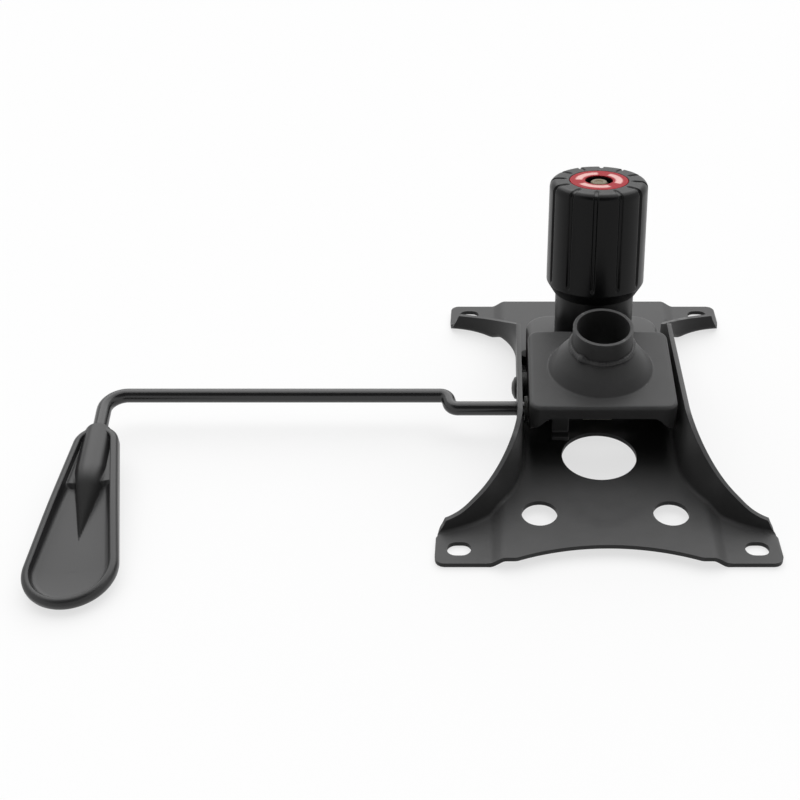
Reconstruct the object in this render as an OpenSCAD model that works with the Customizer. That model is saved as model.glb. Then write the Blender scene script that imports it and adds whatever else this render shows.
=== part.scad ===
// Office chair tilt mechanism, lying upside down on its seat plate.
// +Z points away from the seat, +Y to the front of the chair, -X to the hand lever.
// The origin is the centre of the four seat bolt slots, on the face that meets the seat board.

/* [Seat plate] */
// Distance between the seat bolt slots across the chair
bolt_span_x = 150; // [140:1:165]
// Distance between the seat bolt slots along the chair
bolt_span_y = 220; // [214:1:240]
// Width of a seat bolt slot
slot_w = 9.5; // [7:0.5:10.5]
// Overall length of a seat bolt slot
slot_l = 12.5; // [11:0.5:15]
// Thickness of the plate's sheet
plate_t = 2.5; // [2:0.1:3]
// Reach of the pads past the slot centres, across the chair
pad_margin_x = 12; // [10:0.5:15]
// Reach of the pads past the slot centres, along the chair
pad_margin_y = 10.5; // [9:0.5:14]
// Corner radius of the pads
pad_corner_r = 5; // [2:0.5:8]
// Depth of the rear pads along the chair
rear_pad_depth = 24.4; // [22:0.2:26]
// Depth of the front pads along the chair
front_pad_depth = 26; // [22:0.5:30]
// Height of the web above the pads
web_rise = 4; // [3:0.5:4.5]
// Width of the raised web
web_w = 105; // [96:1:108]
// Run of the ramps from the pads to the web
ramp_run = 6; // [4:0.5:8]
// Outside width between the side flanges at the waist
waist_w = 90; // [88:1:96]
// Radius of the plate's sides behind the waist
rear_arc_r = 50; // [47:0.5:53]
// Radius of the plate's sides in front of the waist
front_arc_r = 45; // [43:0.5:48]
// Height of the flanges at the waist
flange_h = 45; // [40:0.5:48]
// Height of the flanges at the rear pads
rear_flange_h = 10; // [8:0.5:14]
// Height of the flanges at the front pads
front_flange_h = 12; // [9:0.5:16]
// Distance from the pivot to the front corner of the high flange
flange_corner_y = 27; // [24:0.5:30]
// Depth of the curved cut in the rear edge
rear_scoop = 9; // [5:0.5:12]
// Chord of the curved cut in the rear edge
rear_scoop_w = 92; // [80:1:96]
// Diameter of the large hole
large_hole_d = 41; // [34:0.5:44]
// Place of the large hole behind the origin
large_hole_y = 41; // [38:0.5:44]
// Diameter of the two small holes
small_hole_d = 18.6; // [12:0.2:20]
// Distance between the two small holes
small_hole_span = 68; // [62:1:72]
// Place of the small holes behind the origin
small_hole_y = 88; // [84:0.5:92]

/* [Tilt pivot] */
// Place of the pivot in front of the origin
pivot_y = 6.5; // [4:0.5:8]
// Height of the pivot
pivot_z = 18; // [17:0.5:19]
// Largest tilt of the housing, degrees
tilt_max = 12; // [8:0.5:12]
// Axle diameter
axle_d = 10; // [8:0.5:11]
// Diameter of the axle's domed head
axle_head_d = 13; // [12:0.5:15]
// Height of the axle's domed head
axle_head_h = 3; // [2:0.25:4]
// Wall of the pivot bushes
bush_wall = 2; // [1.5:0.25:2.25]
// Wall of the cross tube that holds the bushes
pivot_tube_wall = 2; // [1.5:0.25:2.25]
// Depth of a bush inside the cross tube
bush_depth = 14; // [8:1:20]
// Thickness of the axle's retaining ring
axle_ring_t = 1.5; // [1:0.25:2]

/* [Housing] */
// Gap between the housing and each side flange
side_gap = 3.5; // [3:0.25:4]
// Thickness of the housing's sheet
housing_t = 2.5; // [2:0.1:3]
// Lean of the housing's top face against the plate, degrees
seat_slope = 5.8; // [4:0.2:6.5]
// Height of the top face above the pivot
housing_h = 35; // [33.5:0.5:37]
// Reach of the top face behind the pivot
housing_rear = 55; // [52:0.5:57]
// Reach of the top face in front of the pivot
housing_step = 9.5; // [8:0.5:9.5]
// Reach of the side walls below the pivot
housing_drop = 10; // [9.5:0.25:10]
// Radius of the housing's upper edges
housing_edge_r = 7; // [4:0.5:9]
// Height of the rear lip
lip_h = 8; // [5:0.5:12]
// Height of the side walls at their rear end
wall_rear_h = 15.5; // [12:0.5:20]
// Height of the dome round the socket
dome_h = 15.5; // [12:0.5:18]
// Diameter of the dome's foot
dome_d = 57; // [52:0.5:60]
// Width of the dome's upper rim round the socket
dome_rim = 2; // [1:0.25:3]
// Width of the tab inside the rear opening
tab_w = 9; // [6:0.5:12]
// Distance of the tab from the centre line
tab_x = 22; // [18:0.5:26]
// Distance of the tab in front of the rear lip
tab_inset = 8; // [5:0.5:10]
// Length of the tab below the top face
tab_h = 25; // [20:0.5:27]
// Length of the tab's bent foot
tab_foot = 4; // [3:0.25:5]

/* [Gas lift socket] */
// Socket bore
socket_bore = 28; // [26:0.1:29]
// Wall of the socket tube
socket_wall = 2; // [1.5:0.1:3]
// Place of the socket behind the pivot
socket_y = 22; // [20:0.5:23]
// Height of the socket's rim above the top face
socket_rise = 27.5; // [24:0.5:32]
// Width of the weld round the socket
weld_w = 2; // [1:0.25:2.5]

/* [Tension spring] */
// Place of the bolt's anchor in front of the origin
anchor_y = 36; // [35:0.5:38]
// Height of the bolt's anchor
anchor_z = 20; // [19:0.5:22]
// Lean of the bolt to the front, degrees
bolt_lean = 7; // [5:0.5:8]
// Bolt diameter
bolt_d = 10; // [8:0.5:10]
// Diameter of the bolt's cross head
cross_head_d = 12; // [11:0.5:13]
// Thickness of the anchor bracket's ears
ear_t = 3; // [2:0.25:4]
// Gap between the ears
ear_gap = 16; // [14:0.5:18]
// Rim of the ears round the cross head
ear_rim = 2.5; // [2:0.25:3]
// Distance from the anchor to the spring deck
deck_h = 16; // [15:0.25:17]
// Reach of the deck past the spring sleeve
deck_margin = 2.5; // [1.5:0.25:4]
// Corner radius of the deck
deck_corner_r = 15; // [8:0.5:18]
// Reach of the deck's walls below the anchor
deck_drop = 5; // [4:0.25:5.5]
// Outside diameter of the spring sleeve
sleeve_d = 45; // [42:0.5:46]
// Wall of the spring sleeve
sleeve_wall = 1.8; // [1.2:0.1:2.5]
// Length of the spring sleeve
sleeve_l = 54; // [46:0.5:58]
// Wire diameter of the spring
wire_d = 5.6; // [4:0.2:6]
// Turns of the spring
spring_turns = 8; // [6:0.5:9]
// Thickness of the lower spring washer
seat_washer_t = 2; // [1.5:0.25:3]
// Thickness of the upper thrust washer
thrust_washer_t = 2.3; // [1.5:0.1:3]
// Diameter of the rest bumpers
bumper_d = 8; // [6:0.5:8.5]
// Place of the rest bumpers in front of the anchor
bumper_y = 14; // [8:0.5:18]

/* [Knob] */
// Distance from the anchor to the knob's lower end
knob_bottom = 44; // [42:0.5:48]
// Height of the knob
knob_h = 65; // [60:0.5:70]
// Largest diameter of the knob, above its chamfer
knob_d = 55.6; // [55:0.2:58]
// Draft of the knob's side, degrees
knob_draft = 0.8; // [0.2:0.1:1.5]
// Height of the chamfer at the lower end
knob_chamfer = 6.5; // [4:0.5:8]
// Wall of the knob at its lower end
knob_lip = 0.8; // [0.8:0.1:2]
// Wall of the knob
knob_wall = 2.6; // [2:0.1:3]
// Edge radius at the knob's end
knob_edge_r = 4; // [2:0.5:5]
// Number of grip grooves
groove_count = 12; // [8:1:18]
// Width of a grip groove
groove_w = 2.2; // [1.5:0.1:3]
// Depth of a grip groove
groove_depth = 1.2; // [0.6:0.1:1.5]
// Distance from the chamfer to the groove's end
groove_start = 4; // [3:0.5:8]
// Outside diameter of the coloured disc
disc_d = 32.3; // [28:0.1:36]
// Thickness of the coloured disc
disc_t = 0.8; // [0.5:0.1:1.5]
// Diameter of the recess over the bolt
recess_d = 15.4; // [13:0.1:17]
// Depth of the recess over the bolt
recess_depth = 4; // [3:0.25:5]
// Depth of the bolt's end under the knob's face
bolt_sunk = 0.6; // [0.2:0.1:2]
// Width of the knob's nut across its flats
nut_af = 17; // [15:0.5:18]
// Height of the knob's nut
nut_h = 8; // [6:0.5:9]
// Wall of the hub round the nut
hub_wall = 3; // [2:0.25:4]

/* [Lever] */
// Rod diameter
rod_d = 8; // [6.5:0.25:8]
// Height of the rod above the pivot, in the housing
rod_h = 4.25; // [4:0.25:4.5]
// Drop of the lever to its handle, degrees
lever_drop = 5.9; // [5:0.1:6.1]
// Distance from the centre line to the handle's leg
lever_reach = 276; // [240:1:300]
// Distance from the centre line to the start of the rod's jog
jog_x = 78; // [70:1:100]
// Offset of the rod's jog
jog = 10.7; // [9:0.1:14]
// Turn of the rod's jog, degrees
jog_turn = 75; // [60:1:80]
// Bend radius of the jog
jog_r = 5; // [4.5:0.25:6]
// Bend radius at the handle's leg
leg_r = 11; // [8:0.5:16]
// Turn of the leg toward the chair, degrees
leg_turn = 6.5; // [0:0.5:12]
// Bare length of the leg
leg_bare = 16.5; // [6:0.5:20]
// Depth of the rod inside the handle
rod_in_handle = 34; // [24:1:40]
// Sliding travel of the lever
lock_travel = 6; // [4:0.5:7]
// Gap between the rod's inner end and the far flange
rod_end_gap = 1; // [0.5:0.25:2]
// Rim of the rod's bushes
rod_bush_rim = 3; // [2:0.25:3.25]
// Wall of the rod's bushes
rod_bush_wall = 1.5; // [1:0.25:2]
// Thickness of the rod's retaining clip
clip_t = 1.2; // [0.8:0.1:1.5]
// Width of the release cam
cam_w = 16; // [12:0.5:20]
// Wall of the release cam round the rod
cam_wall = 2.2; // [1.5:0.1:2.4]
// Reach of the cam's finger from the rod's centre
finger_reach = 9.5; // [8:0.25:11]
// Thickness of the cam's finger
finger_t = 5; // [4:0.25:6]

/* [Handle] */
// Length of the handle
handle_l = 119; // [100:1:122]
// Width of the handle at its end
handle_w = 44.5; // [40:0.5:50]
// Width of the handle at the rod
handle_neck_w = 24; // [22:0.5:26]
// Wall of the handle's rim
handle_wall = 2.2; // [1.6:0.1:3]
// Wall of the handle's boss round the rod
boss_wall = 3; // [2.2:0.1:3.6]
// Thickness of the handle's floor
handle_floor = 2.4; // [2:0.1:3]
// Height of the rim above the rod's centre
handle_above = 4.5; // [3.5:0.25:6]
// Depth of the handle below the rod's centre
handle_below = 6; // [5.5:0.25:6.5]
// Length of the ridge past the end of the rod's boss
ridge_l = 39; // [30:1:42]

/* [Fits] */
// Radial clearance of a running fit
run_fit = 0.06; // [0.03:0.01:0.1]
// Radial clearance of pieces that are pressed or welded together
press_fit = 0.02; // [0.01:0.01:0.05]
// Gap between pieces that rest on each other
rest_gap = 0.2; // [0.1:0.05:0.3]
// Free space round a piece that moves past another
free_gap = 1.2; // [1:0.1:1.5]

/* [Hidden] */
$fn = 64;

black = [0.07, 0.07, 0.075];
plastic = [0.10, 0.10, 0.105];
steel = [0.62, 0.62, 0.60];
nylon = [0.25, 0.25, 0.24];
rubber = [0.16, 0.16, 0.16];
red = [0.70, 0.07, 0.09];

// Overlap that lets a cut run clear of the face it cuts
cut = 1;
// Small step inward that makes a straight side cross an arc instead of grazing it
graze = 0.02;
// Turn of the knob's first groove at rest, as a share of the grooves' spacing
groove_phase = 0.75;

// Seat plate: half sizes, side arcs and the levels of its sheet
half_x = bolt_span_x / 2 + pad_margin_x;
half_y = bolt_span_y / 2 + pad_margin_y;
waist_x = waist_w / 2;
rear_arc_y = rear_pad_depth - half_y + sqrt(pow(rear_arc_r, 2) - pow(waist_x + rear_arc_r - half_x, 2));
front_arc_y = half_y - front_pad_depth - sqrt(pow(front_arc_r, 2) - pow(waist_x + front_arc_r - half_x, 2));
web_top = web_rise + plate_t;
flange_inner_x = waist_x - plate_t;
scoop_r = (pow(rear_scoop_w / 2, 2) + pow(rear_scoop, 2)) / (2 * rear_scoop);
rear_rise_y = rear_pad_depth - half_y;
front_rise_y = half_y - front_pad_depth;
flange_corner = pivot_y + flange_corner_y;

// Housing: half widths and the bushes in its walls
housing_x = flange_inner_x - side_gap;
housing_inner_x = housing_x - housing_t;
bush_r = axle_d / 2 + run_fit + bush_wall;
pivot_tube_r = bush_r + press_fit + pivot_tube_wall;
socket_r = socket_bore / 2 + socket_wall;
cam_r = rod_d / 2 + run_fit + cam_wall;
socket_end = rod_h + cam_r + rest_gap * 4;
dome_top = housing_h + dome_h;
rod_bush_r = rod_d / 2 + run_fit + rod_bush_wall;
rod_bush_flange_r = rod_bush_r + rod_bush_rim - rod_bush_wall;
rod_bush_flange_t = side_gap - rest_gap * 8;

// Lever rod's centre in the shared frame
rod_y = pivot_y - socket_y * cos(seat_slope) - rod_h * sin(seat_slope);
rod_z = pivot_z - socket_y * sin(seat_slope) + rod_h * cos(seat_slope);
rod_r = rod_d / 2;
rod_end_x = flange_inner_x - rod_end_gap;
clip_x = rod_bush_flange_t + rest_gap + lock_travel - housing_inner_x;

// Spring stack, measured along the bolt from its anchor
sleeve_r = sleeve_d / 2;
deck_end = sleeve_r + deck_margin;
deck_back = -30;
knob_top = knob_bottom + knob_h;
hub_bottom = knob_top - recess_depth - knob_wall - nut_h;
thrust_z = hub_bottom - rest_gap - thrust_washer_t;
spring_z0 = deck_h + seat_washer_t + rest_gap;
spring_z1 = thrust_z - rest_gap;
seat_washer_r = sleeve_r - sleeve_wall - rest_gap;
coil_r = seat_washer_r - free_gap - wire_d / 2;
bolt_hole_r = bolt_d / 2 + free_gap + 1;

// Frames of the pieces that lean
module in_housing() translate([0, pivot_y, pivot_z]) rotate([seat_slope, 0, 0]) children();
module in_bolt() translate([0, anchor_y, anchor_z]) rotate([-bolt_lean, 0, 0]) children();
module in_lever() translate([0, rod_y, rod_z]) rotate([lever_drop, 0, 0]) children();
module at_socket() in_housing() translate([0, -socket_y, 0]) children();

// Shared shapes
module along_x(x0, x1, r) translate([x0, 0, 0]) rotate([0, 90, 0]) cylinder(r = r, h = x1 - x0);
module ring_x(x0, x1, r_in, r_out) difference() {
    along_x(x0, x1, r_out);
    along_x(x0 - cut, x1 + cut, r_in);
}
module ring(z0, z1, r_in, r_out) difference() {
    translate([0, 0, z0]) cylinder(r = r_out, h = z1 - z0);
    translate([0, 0, z0 - cut]) cylinder(r = r_in, h = z1 - z0 + 2 * cut);
}
module both_sides() for (side = [0, 1]) mirror([side, 0, 0]) children();
// Side view drawn in Y and Z, drawn out across the chair
module side_view(x) translate([-x, 0, 0]) rotate([90, 0, 90]) linear_extrude(2 * x) children();
// End view drawn in X and Z, drawn out along the chair
module end_view(y0, y1) translate([0, y1, 0]) rotate([90, 0, 0]) linear_extrude(y1 - y0) children();
module rounded_rectangle(x, y, r) {
    square([2 * x - 2 * r, 2 * y], center = true);
    square([2 * x, 2 * y - 2 * r], center = true);
    for (sx = [-1, 1], sy = [-1, 1]) translate([sx * (x - r), sy * (y - r)]) circle(r);
}
module slot(length, width) {
    straight = length - width;
    square([straight, width], center = true);
    for (end = [-1, 1]) translate([end * straight / 2, 0]) circle(d = width);
}

// Faces of a closed tube whose rings follow each other in its list of points
function tube_faces(last, sides) = concat(
    [for (j = [1:sides - 2]) [0, j, j + 1]],
    [for (i = [0:last - 1], j = [0:sides - 1], half = [0, 1])
        let (a = i * sides + j, b = i * sides + (j + 1) % sides)
        half == 0 ? [a, a + sides, b] : [b, a + sides, b + sides]],
    [for (j = [1:sides - 2]) let (e = last * sides) [e, e + j + 1, e + j]]);

// Seat plate
// Ground taken away beside the waist, grown toward the plate by one wall
module side_cut(grow) both_sides() {
    translate([waist_x - grow, rear_arc_y]) square([half_x, front_arc_y - rear_arc_y]);
    translate([waist_x + rear_arc_r, rear_arc_y]) circle(rear_arc_r + grow, $fn = 128);
    translate([waist_x + front_arc_r, front_arc_y]) circle(front_arc_r + grow, $fn = 128);
}
module plate_outline() difference() {
    rounded_rectangle(half_x, half_y, pad_corner_r);
    side_cut(0);
    translate([0, rear_scoop - half_y - scoop_r]) circle(scoop_r, $fn = 128);
}
// Lower line of the sheet from the web's centre to the edge of a pad
web_line = [[0, web_rise], [web_w / 2, web_rise], [web_w / 2 + ramp_run, 0], [half_x + cut, 0]];
module sheet_section() both_sides() polygon(concat(web_line,
    [for (i = [len(web_line) - 1:-1:0]) web_line[i] + [0, plate_t]]));
module above_sheet() both_sides() polygon(concat(web_line,
    [[half_x + cut, flange_h + cut], [0, flange_h + cut]]));
// Upper line of the flanges: a sine at the rear, a power curve at the front
rise_steps = 10;
rear_rise = [for (i = [0:rise_steps]) let (t = i / rise_steps)
    [rear_rise_y + t * (rear_arc_y - rear_rise_y),
     rear_flange_h + (flange_h - rear_flange_h) * sin(90 * t)]];
front_fall = [for (i = [0:rise_steps]) let (t = 1 - i / rise_steps)
    [front_rise_y - t * (front_rise_y - flange_corner),
     front_flange_h + (flange_h - front_flange_h) * pow(t, 1.3)]];
module flange_side() polygon(concat([[-half_y, 0], [-half_y, rear_flange_h]], rear_rise, front_fall,
    [[half_y, front_flange_h], [half_y, 0]]));
// Slot in the left flange along the lever rod's path when the housing tilts
module rod_slot() {
    slot_r = rod_r + free_gap;
    rest = [rod_y - pivot_y, rod_z - pivot_z];
    tilted = [rest[0] * cos(tilt_max) - rest[1] * sin(tilt_max),
              rest[0] * sin(tilt_max) + rest[1] * cos(tilt_max)];
    path = tilted - rest;
    translate([-waist_x - cut, pivot_y, pivot_z]) {
        for (end = [rest, tilted]) translate([0, end[0], end[1]]) along_x(0, plate_t + 2 * cut, slot_r);
        translate([0, rest[0], rest[1]]) rotate([atan2(path[1], path[0]), 0, 0])
            translate([0, 0, graze - slot_r]) cube([plate_t + 2 * cut, norm(path), 2 * (slot_r - graze)]);
    }
}
module seat_plate() color(black) difference() {
    union() {
        intersection() {
            end_view(-half_y, half_y) sheet_section();
            linear_extrude(flange_h) plate_outline();
        }
        intersection() {
            linear_extrude(flange_h) intersection() {
                plate_outline();
                side_cut(plate_t);
            }
            side_view(half_x) flange_side();
            end_view(-half_y, half_y) above_sheet();
        }
    }
    for (sx = [-1, 1], sy = [-1, 1]) translate([sx * bolt_span_x / 2, sy * bolt_span_y / 2, -cut])
        linear_extrude(plate_t + 2 * cut) slot(slot_l, slot_w);
    translate([0, -large_hole_y, 0]) cylinder(d = large_hole_d, h = web_top + cut);
    both_sides() translate([small_hole_span / 2, -small_hole_y, 0]) cylinder(d = small_hole_d, h = web_top + cut);
    translate([0, pivot_y, pivot_z]) along_x(-half_x, half_x, axle_d / 2 + press_fit);
    rod_slot();
}

// Pivot: axle riveted in the flanges, bushes and cross tube of the housing
module pivot_axle() color(steel) translate([0, pivot_y, pivot_z]) {
    ball_r = (pow(axle_head_d / 2, 2) + pow(axle_head_h, 2)) / (2 * axle_head_h);
    along_x(-waist_x - axle_head_h / 2, waist_x + axle_ring_t * 2, axle_d / 2);
    intersection() {
        translate([ball_r - waist_x - axle_head_h, 0, 0]) sphere(ball_r);
        along_x(-waist_x - axle_head_h - cut, -waist_x, axle_head_d / 2);
    }
}
module axle_ring() color(steel) translate([0, pivot_y, pivot_z])
    ring_x(waist_x, waist_x + axle_ring_t, axle_d / 2 + press_fit, axle_head_d / 2 + axle_ring_t);
module pivot_tube() color(black) translate([0, pivot_y, pivot_z])
    ring_x(press_fit - housing_inner_x, housing_inner_x - press_fit, bush_r + press_fit, pivot_tube_r);
module pivot_bushes() color(nylon) translate([0, pivot_y, pivot_z]) both_sides() difference() {
    union() {
        along_x(housing_inner_x - bush_depth, housing_x + cut, bush_r);
        along_x(housing_x, flange_inner_x - rest_gap, pivot_tube_r);
    }
    along_x(0, half_x, axle_d / 2 + run_fit);
}

// Housing: a pressed box over the socket and a lower deck under the spring
module box_section(inset) {
    x = housing_x - inset;
    z = housing_h - inset;
    r = housing_edge_r - inset;
    translate([0, -housing_h]) square([2 * x, 2 * (housing_h + z - r)], center = true);
    translate([-x, -housing_h]) square([2 * x, housing_h + z - r]);
    both_sides() translate([x - r, z - r]) circle(r);
    translate([r - x, 0]) square([2 * (x - r), z]);
}
// Lower edge of the walls, which stays clear of the web at full tilt
under_mid_y = -30;
under_mid_z = -housing_drop - under_mid_y * tan(tilt_max + seat_slope);
module box_side() polygon([[-housing_rear, housing_h - wall_rear_h], [-housing_rear, housing_h],
    [housing_step, housing_h], [housing_step, -housing_drop], [0, -housing_drop], [under_mid_y, under_mid_z]]);
module deck_outline(inset) {
    x = housing_x - inset;
    r = deck_corner_r - inset;
    translate([-x, deck_back]) square([2 * x, deck_end - inset - r - deck_back]);
    translate([r - x, deck_back]) square([2 * (x - r), deck_end - inset - deck_back]);
    both_sides() translate([x - r, deck_end - inset - r]) circle(r);
}
module housing() color(black) difference() {
    union() {
        in_housing() intersection() {
            end_view(-housing_rear, housing_step) box_section(0);
            side_view(housing_x) box_side();
        }
        in_bolt() translate([0, 0, -deck_drop]) linear_extrude(deck_drop + deck_h) deck_outline(0);
        at_socket() translate([0, 0, housing_h - housing_t]) cylinder(
            r1 = dome_d / 2 + housing_t / 2, r2 = socket_r + dome_rim, h = dome_h + housing_t);
    }
    in_housing() end_view(housing_t - housing_rear, housing_step - housing_t) box_section(housing_t);
    in_housing() translate([-housing_inner_x, -housing_rear - cut, -housing_drop])
        cube([2 * housing_inner_x, housing_t + 2 * cut, housing_h - lip_h + housing_drop]);
    in_bolt() translate([0, 0, -deck_drop - housing_drop])
        linear_extrude(deck_drop + housing_drop + deck_h - housing_t) deck_outline(housing_t);
    in_bolt() cylinder(r = bolt_hole_r, h = deck_h + cut);
    at_socket() cylinder(r = socket_r + press_fit, h = dome_top + cut);
    at_socket() translate([0, 0, housing_h - 2 * housing_t]) cylinder(
        r1 = dome_d / 2, r2 = socket_r, h = dome_h);
    in_housing() along_x(-half_x, half_x, bush_r + press_fit);
    at_socket() translate([0, 0, rod_h]) along_x(-half_x, half_x, rod_bush_r + press_fit);
}
module inner_tab() color(black) in_housing() translate([-tab_x, tab_inset - housing_rear, 0]) {
    top = housing_h - housing_t - press_fit;
    translate([-tab_w / 2, 0, top - tab_h]) cube([tab_w, housing_t, tab_h]);
    translate([-tab_w / 2, -tab_foot, top - tab_h]) cube([tab_w, tab_foot, housing_t]);
}

// Gas lift socket
module socket_tube() color(black) at_socket()
    ring(socket_end, housing_h + socket_rise, socket_bore / 2, socket_r);
module socket_weld() color(black) at_socket() rotate_extrude()
    translate([socket_r + press_fit, dome_top + press_fit]) intersection() {
        circle(weld_w);
        square(weld_w);
    }

// Tension bolt, its anchor and the spring between deck and knob
module anchor_bracket() color(black) {
    ear_r = cross_head_d / 2 + ear_rim;
    ear_x = ear_gap / 2;
    translate([-ear_x - 2 * ear_t, anchor_y - ear_r, web_top])
        cube([2 * ear_x + 4 * ear_t, 2 * ear_r, plate_t]);
    both_sides() difference() {
        union() {
            translate([0, anchor_y, anchor_z]) along_x(ear_x, ear_x + ear_t, ear_r);
            translate([ear_x, anchor_y - ear_r, web_top + plate_t / 2])
                cube([ear_t, 2 * ear_r, anchor_z - web_top - plate_t / 2]);
        }
        translate([0, anchor_y, anchor_z]) along_x(0, half_x, cross_head_d / 2 + run_fit);
    }
}
module tension_bolt() color(steel) in_bolt() {
    head_x = ear_gap / 2 + ear_t + cut;
    end_bevel = bolt_d / 10;
    along_x(-head_x, head_x, cross_head_d / 2);
    cylinder(d = bolt_d, h = knob_top - bolt_sunk - end_bevel);
    translate([0, 0, knob_top - bolt_sunk - end_bevel])
        cylinder(d1 = bolt_d, d2 = bolt_d - 2 * end_bevel, h = end_bevel);
}
module spring_seat() color(steel) in_bolt()
    ring(deck_h + press_fit, deck_h + seat_washer_t, bolt_hole_r, seat_washer_r);
module spring_sleeve() color(plastic) in_bolt()
    ring(deck_h + press_fit, deck_h + sleeve_l, sleeve_r - sleeve_wall, sleeve_r);
module thrust_washer() color(steel) in_bolt()
    ring(thrust_z, thrust_z + thrust_washer_t, bolt_d / 2 + run_fit, coil_r + wire_d / 2);

// Spring: one tube of six-sided rings along a helix, with close end turns
ring_sides = 6;
rings_per_turn = 12;
ring_count = spring_turns * rings_per_turn;
wire_r = wire_d / 2;
end_share = 1 / spring_turns;
coil_lift = spring_z1 - spring_z0 - wire_d;
close_lift = wire_d + 0.5;
function coil_z(t) = t < end_share ? close_lift * t / end_share
    : t > 1 - end_share ? coil_lift - close_lift * (1 - t) / end_share
    : close_lift + (coil_lift - 2 * close_lift) * (t - end_share) / (1 - 2 * end_share);
function coil_point(i, j) = let (
    turn = 360 * i / rings_per_turn,
    around = 360 * j / ring_sides,
    r = coil_r + wire_r * cos(around))
    [r * cos(turn), r * sin(turn), spring_z0 + wire_r + coil_z(i / ring_count) + wire_r * sin(around)];
coil_gap = (coil_lift - 2 * close_lift) / (spring_turns - 2) - wire_d;
echo(least_gap_between_spring_turns = min(coil_gap, close_lift - wire_d));
module tension_spring() color(steel) in_bolt() polyhedron(
    points = [for (i = [0:ring_count], j = [0:ring_sides - 1]) coil_point(i, j)],
    faces = tube_faces(ring_count, ring_sides));

// Rubber bumpers on the web, which the deck's walls rest on
module rest_bumpers() color(rubber) {
    along = bumper_y + bumper_d / 2;
    wall_z = anchor_z - deck_drop * cos(bolt_lean) - along * tan(bolt_lean);
    both_sides() translate([housing_x - housing_t / 2, anchor_y + bumper_y, web_top + press_fit])
        cylinder(d = bumper_d, h = wall_z - rest_gap - web_top);
}

// Knob: a drafted shell with grip grooves, a hub for its nut and a coloured disc
knob_r = knob_d / 2;
mouth_r = sleeve_r + free_gap;
side_h = knob_h - knob_chamfer - knob_edge_r;
end_r = knob_r - side_h * tan(knob_draft);
edge_steps = 6;
knob_edge = [for (i = [0:edge_steps]) let (a = 90 * i / edge_steps)
    [end_r - knob_edge_r + knob_edge_r * cos(a), knob_h - knob_edge_r + knob_edge_r * sin(a)]];
hub_r = nut_af / 2 / cos(30) + hub_wall;
roof = knob_h - recess_depth - knob_wall;
module knob_section() polygon(concat(
    [[mouth_r, 0], [mouth_r + knob_lip, 0], [knob_r, knob_chamfer]], knob_edge,
    [[disc_d / 2 + rest_gap, knob_h], [disc_d / 2 + rest_gap, knob_h - disc_t], [recess_d / 2, knob_h - disc_t],
     [recess_d / 2, knob_h - recess_depth], [bolt_d / 2 + free_gap / 2, knob_h - recess_depth],
     [bolt_d / 2 + free_gap / 2, hub_bottom - knob_bottom], [hub_r, hub_bottom - knob_bottom], [hub_r, roof],
     [end_r - knob_wall, roof], [knob_r - knob_wall, knob_chamfer + knob_wall], [mouth_r, knob_chamfer]]));
module groove() {
    translate([knob_r - groove_depth, 0, knob_chamfer + groove_start]) rotate([0, -knob_draft, 0]) {
        translate([0, -groove_w / 2, 0]) cube([groove_depth * 3, groove_w, knob_h]);
        along_x(0, groove_depth * 3, groove_w / 2);
    }
    translate([disc_d / 2 + groove_w, -groove_w / 2, knob_h - groove_depth / 2])
        cube([knob_r, groove_w, groove_depth]);
}
module knob() color(plastic) in_bolt() translate([0, 0, knob_bottom]) difference() {
    rotate_extrude($fn = 96) knob_section();
    for (i = [0:groove_count - 1]) rotate([0, 0, 360 * (i + groove_phase) / groove_count]) groove();
    translate([0, 0, hub_bottom - knob_bottom - cut])
        cylinder(d = (nut_af + 2 * press_fit) / cos(30), h = nut_h + cut, $fn = 6);
}
module knob_nut() color(steel) in_bolt() translate([0, 0, hub_bottom]) difference() {
    cylinder(d = nut_af / cos(30), h = nut_h - press_fit, $fn = 6);
    translate([0, 0, -cut]) cylinder(r = bolt_d / 2 + run_fit, h = nut_h + 2 * cut);
}
module knob_disc() color(red) in_bolt()
    ring(knob_top - disc_t + press_fit, knob_top, recess_d / 2, disc_d / 2);

// Lever rod, drawn in its own plane: a round bar through the housing and a bent tube of flat sides
// Each run has its length and the turn after it; the rod sets out toward -X
jog_steps = 4;
leg_steps = 8;
rod_sides = 20;
leg_angle = 90 + leg_turn;
jog_chord = 2 * jog_r * tan(jog_turn / jog_steps / 2);
leg_chord = 2 * leg_r * tan(leg_angle / leg_steps / 2);
jog_straight = (jog - 2 * jog_r * (1 - cos(jog_turn))) / sin(jog_turn);
jog_length = 2 * jog_r * sin(jog_turn) + jog_straight * cos(jog_turn);
far_run = lever_reach - jog_x - jog_length - leg_r * cos(leg_turn);
tube_start = rod_r - jog_x;
rod_runs = concat(
    [[rod_r + jog_chord / 2, -jog_turn / jog_steps]],
    [for (i = [2:jog_steps]) [jog_chord, -jog_turn / jog_steps]],
    [[jog_straight + jog_chord, jog_turn / jog_steps]],
    [for (i = [2:jog_steps]) [jog_chord, jog_turn / jog_steps]],
    [[far_run + (jog_chord + leg_chord) / 2, leg_angle / leg_steps]],
    [for (i = [2:leg_steps]) [leg_chord, leg_angle / leg_steps]],
    [[leg_chord / 2 + leg_bare + rod_in_handle, 0]]);
leg_run = len(rod_runs) - 1;
function turn_before(i) = i == 0 || i > leg_run ? 0 : rod_runs[i - 1][1];
function run_heading(i) = i == 0 ? 0 : run_heading(i - 1) + turn_before(i);
function run_start(i) = i == 0 ? [tube_start, 0]
    : run_start(i - 1) - rod_runs[i - 1][0] * [cos(run_heading(i - 1)), sin(run_heading(i - 1))];
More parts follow.
